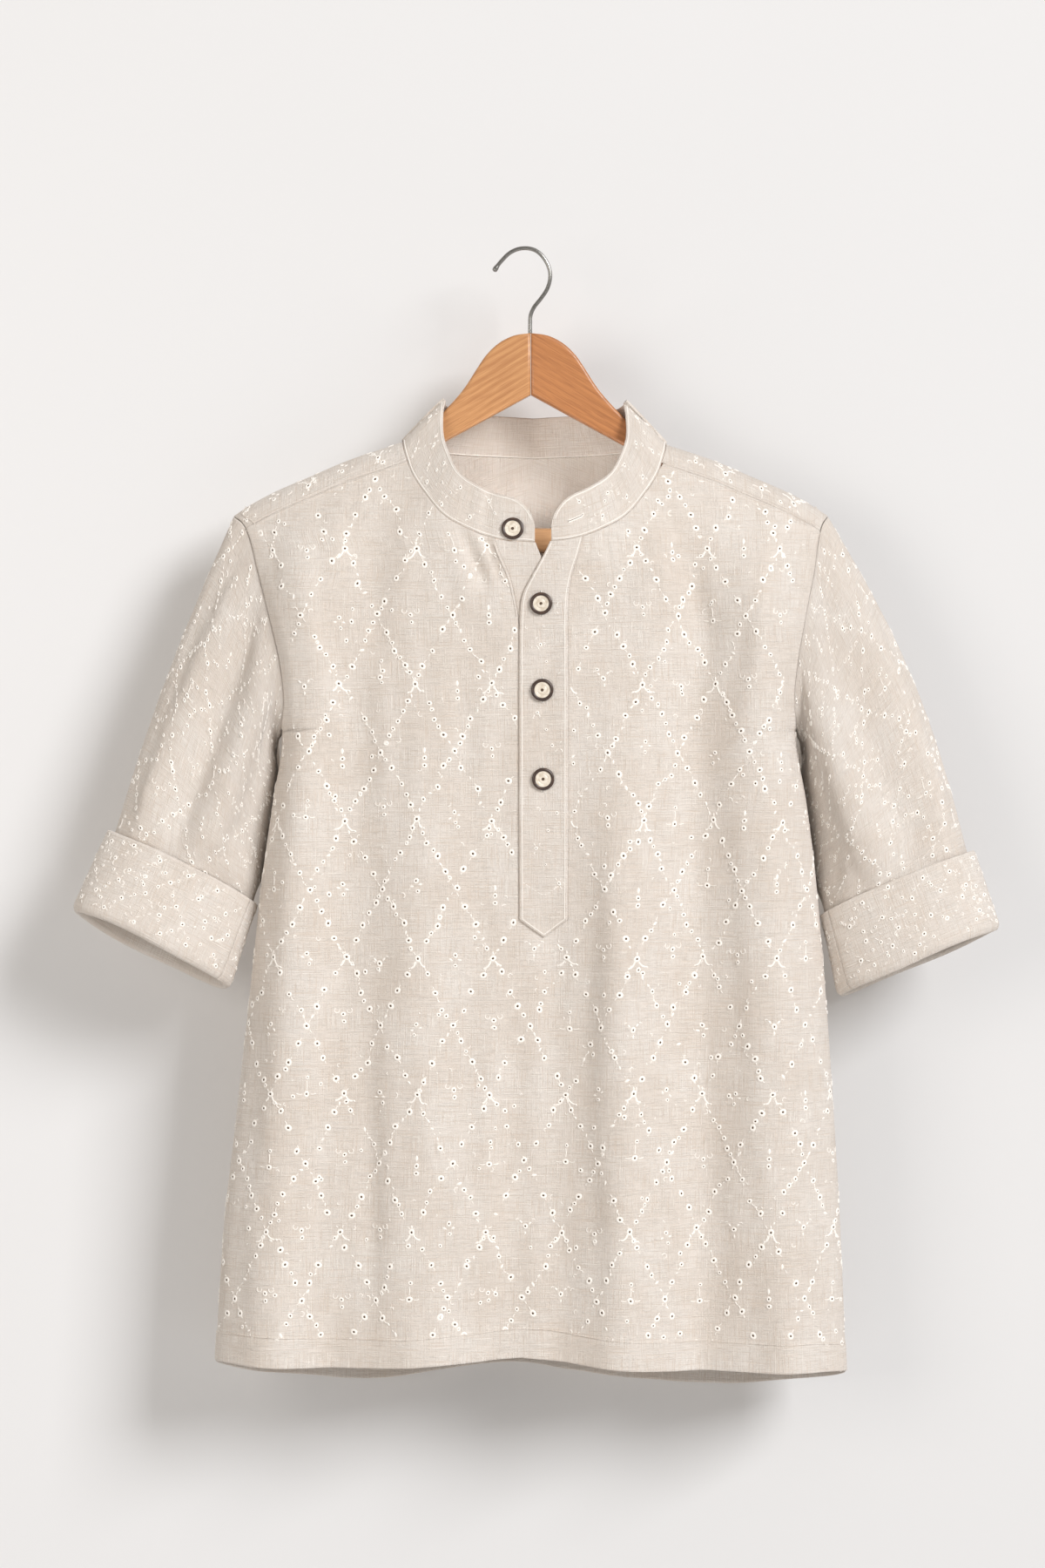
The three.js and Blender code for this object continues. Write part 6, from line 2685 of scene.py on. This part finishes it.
def buttons_of(form: BodyForm, collar: CollarBand, finishes: Finishes) -> list[Button]:
    """The four buttons: one on the collar and three on the placket."""
    angle, share = np.array(350.4), np.array(0.26)
    along = collar.point(angle + 5, share) - collar.point(angle - 5, share)
    down = collar.point(angle, share - 0.2) - collar.point(angle, share + 0.2)
    facing = unit(np.cross(down, along))
    middle = collar.point(angle, share) + facing * 2 * SEAM_GAP
    made = [Button("button_1", middle, facing, finishes)]
    for k, (x, z) in enumerate(PLACKET_BUTTONS):
        point = form.point(form.front, x, z)
        facing = form.normal(form.front, np.array(x), np.array(z))
        middle = point + facing * (3 * SEAM_GAP + BAND_CLOTH)
        made.append(Button(f"button_{k + 2}", middle, facing, finishes))
    return made


# ---------------------------------------------------------------- hanger


@dataclass
class HangerArm:
    """One of the hanger's two wooden arms, with rounded edges."""

    form: BodyForm
    side: Side
    finish: bpy.types.Material
    thickness: float = 12.0
    bevel: float = 2.6
    under_cloth: float = 4.9
    top: tuple[tuple[float, float], ...] = (
        (0.15, -67), (8, -67.8), (15.8, -69.7), (26.4, -75.5), (35.8, -84.5), (42.4, -94),
        (54.5, -112.5), (69.5, -129.5), (86, -145.5), (100, -158),
    )
    foot: tuple[tuple[float, float], ...] = (
        (211.5, -199.5), (213, -205), (213, -240), (211.6, -244.4), (208, -246), (197, -246),
        (193.4, -244.4), (192, -240), (192, -221), (190.4, -217), (186, -214.5), (150, -197.5),
        (100, -171), (50, -143.7), (0.15, -116.5),
    )

    def _outline(self) -> Array:
        """The arm's outline in the plane of the hanger, evenly spaced."""
        shoulder = [
            (x, float(self.form.shoulder_z(x)) - self.under_cloth)
            for x in (106, 125, 147, 175, 195, 208)
        ]
        marks = np.array([*self.top, *shoulder, *self.foot])
        run = travelled(marks)
        x, z = Track(tuple(run), tuple(marks[:, 0])), Track(tuple(run), tuple(marks[:, 1]))
        first, last = run[1], run[len(self.top) + len(shoulder) - 1]
        fine = np.linspace(first, last, 90)
        at = np.concatenate([[0.0], fine, run[run > last + 1.0]])
        return np.stack([x(at), z(at)], axis=-1)

    def build(self) -> bpy.types.Object:
        """Makes the arm."""
        line = self._outline()
        before, after = np.roll(line, 1, axis=0), np.roll(line, -1, axis=0)
        first, second = unit(line - before), unit(after - line)
        inward = np.stack([first[:, 1] + second[:, 1], -(first[:, 0] + second[:, 0])], axis=-1)
        inward = inward / np.maximum(1.0 + np.sum(first * second, axis=-1, keepdims=True), 0.5)
        half = self.thickness / 2
        turn = np.linspace(0, math.pi / 2, 6)
        inset = np.concatenate([[self.bevel + 1.0], self.bevel * (1 - np.sin(turn))])
        level = np.concatenate([[half], half - self.bevel * (1 - np.cos(turn))])
        inset = np.concatenate([inset, inset[::-1]])
        level = np.concatenate([-level, level[::-1]])
        places = line[None] + inset[:, None, None] * inward[None]
        depth = np.broadcast_to(level[:, None], places.shape[:2])
        points = np.stack([self.side.value * places[..., 0], depth, places[..., 1]], axis=-1)
        mesh = Mesh()
        mesh.add_tube(points, self.side is Side.RIGHT)
        return mesh.make(f"hanger_arm_{self.side.word}_wood", [self.finish])

    def make(self) -> None:
        """Builds the arm and puts it in the frame."""
        seat(self.build(), f"hanger_arm_{self.side.word}")


@dataclass
class HangerBar:
    """The wooden bar between the arms' ends."""

    finish: bpy.types.Material
    half_length: float = 191.5
    z: float = -233.5
    height: float = 20.0
    depth: float = 11.0
    corner: float = 4.0

    def build(self) -> bpy.types.Object:
        """Makes the bar."""
        turn = np.radians(np.arange(0, 360, 11.25) + 5.6)
        y = (self.depth / 2 - self.corner) * np.sign(np.cos(turn)) + self.corner * np.cos(turn)
        z = (self.height / 2 - self.corner) * np.sign(np.sin(turn)) + self.corner * np.sin(turn)
        end = self.half_length
        x = np.array([-end, -end, -end + 0.8, -end + 6, end - 6, end - 0.8, end, end])
        size = np.array([0.86, 0.95, 1, 1, 1, 1, 0.95, 0.86])
        x = np.broadcast_to(x[:, None], (len(size), len(turn)))
        points = np.stack([x, size[:, None] * y, self.z + size[:, None] * z], axis=-1)
        mesh = Mesh()
        mesh.add_tube(points, True)
        return mesh.make("hanger_bar_wood", [self.finish])

    def make(self) -> None:
        """Builds the bar and puts it in the frame."""
        seat(self.build(), "hanger_bar")


@dataclass
class HangerHook:
    """The bent wire hook with its ball tip."""

    finish: bpy.types.Material
    sides: int = 20
    wire: float = 1.65
    line: tuple[tuple[float, float, float], ...] = (
        (-29.8, -17.2, 2.3), (-28.2, -14.6, 2.2), (-26.4, -12, 1.65), (-23.4, -8.4, 1.65),
        (-17.8, -2.8, 1.65), (-11.5, 0.55, 1.65), (-4.5, 1.65, 1.65), (2.5, 0.4, 1.65),
        (7.6, -3, 1.65), (12.4, -9.2, 1.65), (15.2, -16.4, 1.65), (15.3, -24, 1.65),
        (12.8, -31.8, 1.65), (7.8, -39.2, 1.65), (2.6, -45.8, 1.65), (-0.2, -52.4, 1.65),
        (-0.6, -59, 1.65), (-0.6, -66.9, 1.65),
    )

    def build(self) -> bpy.types.Object:
        """Makes the hook."""
        marks = np.array(self.line)
        run = travelled(marks[:, :2])
        at = np.concatenate([np.linspace(0, 6, 10), np.arange(7.2, run[-1], 1.4), [run[-1]]])
        x, z = (Track(tuple(run), tuple(marks[:, k]))(at) for k in (0, 1))
        radius = np.interp(at, run, marks[:, 2])
        radius *= np.sqrt(np.clip(1 - (1 - np.minimum(at / 2.0, 1)) ** 2, 0.01, 1))
        along = unit(np.gradient(np.stack([x, 0 * x, z], -1), axis=0))
        across = np.stack([-along[:, 2], 0 * x, along[:, 0]], -1)
        turn = np.linspace(0, 2 * math.pi, self.sides, endpoint=False)
        cos, sin = np.cos(turn)[None, :, None], np.sin(turn)[None, :, None]
        ring = cos * across[:, None] + sin * [0, 1, 0]
        mesh = Mesh()
        mesh.add_tube(np.stack([x, 0 * x, z], -1)[:, None] + radius[:, None, None] * ring)
        return mesh.make("hanger_hook_wire", [self.finish])

    def make(self) -> None:
        """Builds the hook and puts it in the frame."""
        seat(self.build(), "hanger_hook")


# ---------------------------------------------------------------- studio


@dataclass(frozen=True)
class Lamp:
    """A soft square lamp.

    Attributes:
        name: Its name.
        place: Where it is, in metres.
        aim: What it faces.
        size: Its side.
        power: In watts.
        colour: Its colour.
    """

    name: str
    place: tuple[float, float, float]
    aim: tuple[float, float, float]
    size: float
    power: float
    colour: tuple[float, float, float] = (1.0, 0.99, 0.97)

    def make(self) -> None:
        """Puts the lamp in the scene."""
        data = bpy.data.lights.new(self.name, "AREA")
        data.energy = self.power
        data.size = self.size
        data.color = self.colour
        lamp = bpy.data.objects.new(self.name, data)
        lamp.location = self.place
        run = Vector(self.aim) - Vector(self.place)
        lamp.rotation_mode = "QUATERNION"
        lamp.rotation_quaternion = run.to_track_quat("-Z", "Y")
        bpy.context.scene.collection.objects.link(lamp)


NECK_LIGHT = (1.0, 0.97, 0.95)


@dataclass
class Studio:
    """The plain surroundings: a pale floor, a pale wall close behind, lamps and the camera."""

    floor_z: float = -1.9
    wall_y: float = 0.066
    half_width: float = 3.2
    wall_top: float = 1.9
    eye: tuple[float, float, float] = (-0.0022, -3.0, -0.429)
    lens: float = 85.7
    lamps: tuple[Lamp, ...] = (
        Lamp("key", (5.3, -5.7, 3.5), (0.0, 0.0, -0.45), 3.2, 668.0, (0.99, 1.0, 1.02)),
        Lamp("fill", (-1.5, -1.8, -0.15), (0.0, 0.0, -0.5), 1.2, 15.0, (1.0, 0.955, 0.9)),
        Lamp("inside", (0.004, -0.008, -0.4), (0.004, 0.02, -0.1), 0.06, 0.012, (1.0, 0.96, 0.92)),
        Lamp("neck_right", (-0.03, -0.03, -0.225), (0.0, 0.045, -0.14), 0.02, 0.03, NECK_LIGHT),
        Lamp("neck_left", (0.045, -0.03, -0.225), (0.01, 0.045, -0.14), 0.02, 0.03, NECK_LIGHT),
        Lamp("rear", (-1.4, 2.6, 0.9), (0.0, 0.0, -0.5), 2.2, 46.0),
    )

    def make(self) -> None:
        """Builds the surroundings."""
        self._plane("floor", (0, -1, self.floor_z), (self.half_width, 3.0), False)
        middle = (self.floor_z + self.wall_top) / 2
        size = (self.half_width, (self.wall_top - self.floor_z) / 2)
        wall = self._plane("wall", (0, self.wall_y, middle), size, True)
        wall.visible_shadow = False
        wall.visible_diffuse = False
        for lamp in self.lamps:
            lamp.make()
        self._world()
        self._camera()

    def _plane(
        self, name: str, place: tuple[float, float, float], half: tuple[float, float], upright: bool
    ) -> bpy.types.Object:
        """A plain sheet of the surroundings."""
        data = bpy.data.meshes.new(name)
        corners = [(half[0] * a, half[1] * b) for a, b in ((-1, -1), (1, -1), (1, 1), (-1, 1))]
        points = [(a, 0, b) if upright else (a, b, 0) for a, b in corners]
        data.from_pydata(points, [], [(0, 1, 2, 3)])
        made = bpy.data.objects.new(name, data)
        made.location = place
        data.materials.append(self._plaster(name, upright))
        bpy.context.scene.collection.objects.link(made)
        return made

    def _plaster(self, name: str, one_sided: bool) -> bpy.types.Material:
        """Smooth pale paint, on the wall only seen from its front."""
        bench = NodeBench.new(name + "_paint")
        place = bench.node("ShaderNodeTexCoord").outputs["Object"]
        cloud = bench.noise(bench.stretched(place, (1.3, 1.3, 1.3)), 2.0)
        colour = bench.blend(cloud, paint(217, 216, 215), paint(221, 220, 220))
        material = bench.surface(colour, None, 0.9, Specular_IOR_Level=0.1)
        if one_sided:
            out = next(n for n in material.node_tree.nodes if n.type == "OUTPUT_MATERIAL")
            shader = out.inputs["Surface"].links[0].from_socket
            clear = bench.node("ShaderNodeBsdfTransparent").outputs[0]
            choice = bench.node("ShaderNodeMixShader")
            bench.link(bench.node("ShaderNodeNewGeometry").outputs["Backfacing"], choice.inputs[0])
            bench.link(shader, choice.inputs[1])
            bench.link(clear, choice.inputs[2])
            bench.link(choice.outputs[0], out.inputs["Surface"])
        return material

    def _world(self) -> None:
        """An even pale light from all round."""
        world = bpy.data.worlds.new("daylight")
        world.use_nodes = True
        back = world.node_tree.nodes["Background"]
        back.inputs["Color"].default_value = (1.0, 0.96, 0.915, 1.0)
        back.inputs["Strength"].default_value = 0.4
        bpy.context.scene.world = world
        bpy.context.scene.view_settings.view_transform = "Standard"

    def _camera(self) -> None:
        """The camera, straight in front."""
        data = bpy.data.cameras.new("camera")
        data.lens = self.lens
        data.sensor_width = 36.0
        data.clip_end = 50.0
        camera = bpy.data.objects.new("camera", data)
        camera.location = self.eye
        camera.rotation_euler = (math.pi / 2, 0, 0)
        bpy.context.scene.collection.objects.link(camera)
        bpy.context.scene.camera = camera


# ---------------------------------------------------------------- the whole


def sleeve_forms(body: BodyForm) -> list[SleeveForm]:
    """The forms of the two sleeves."""
    behind = (RingFold(-40, 6, 15), RingFold(-75, -6, 14), RingFold(-112, 6, 15))
    right = SleeveForm(
        body, Side.RIGHT, mouth=(-277.5, -13, -496), across=(-0.893, 0, 0.45),
        down=(-0.4, -0.15, -0.904), cuff_length=71, bulge=5,
        folds=(
            RingFold(50, 6.5, 15), RingFold(76, -6.0, 12), RingFold(100, 7.0, 13),
            RingFold(132, -6, 15), *behind,
        ),
    )
    left = SleeveForm(
        body, Side.LEFT, mouth=(292, -13, -508), across=(0.92, 0, 0.391),
        down=(0.31, -0.12, -0.943), cuff_length=66.5, bulge=13,
        folds=(
            RingFold(40, 6.0, 15), RingFold(70, -5.0, 12), RingFold(104, 8, 14),
            RingFold(140, -5, 15), *behind,
        ),
    )
    return [right, left]


def main() -> None:
    """Builds every piece of the kurta and its hanger, and the surroundings."""
    logging.basicConfig(level=logging.INFO, format="%(message)s")
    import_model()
    finishes = Finishes.make()
    body = BodyForm()
    front = FrontPanel(body, finishes)
    collar = CollarBand(body, finishes)
    wood = {
        Side.RIGHT: WoodFinish("wood_right", 31.0).material(),
        Side.LEFT: WoodFinish("wood_left", -31.0, (190, 127, 77), (150, 92, 50)).material(),
    }
    for side in Side:
        HangerArm(body, side, wood[side]).make()
    HangerBar(WoodFinish("wood_bar", 0.0, (186, 144, 104), (158, 117, 80)).material()).make()
    HangerHook(finishes.wire).make()
    front.make()
    BackPanel(body, finishes).make()
    Yoke(body, finishes).make()
    collar.make()
    for band in Band:
        PlacketBand(body, finishes, band, front.cloth).make()
    for form in sleeve_forms(body):
        Sleeve(form, finishes).make()
        Cuff(form, finishes).make()
    for button in buttons_of(body, collar, finishes):
        button.make()
    Studio().make()


if __name__ == "__main__":
    main()
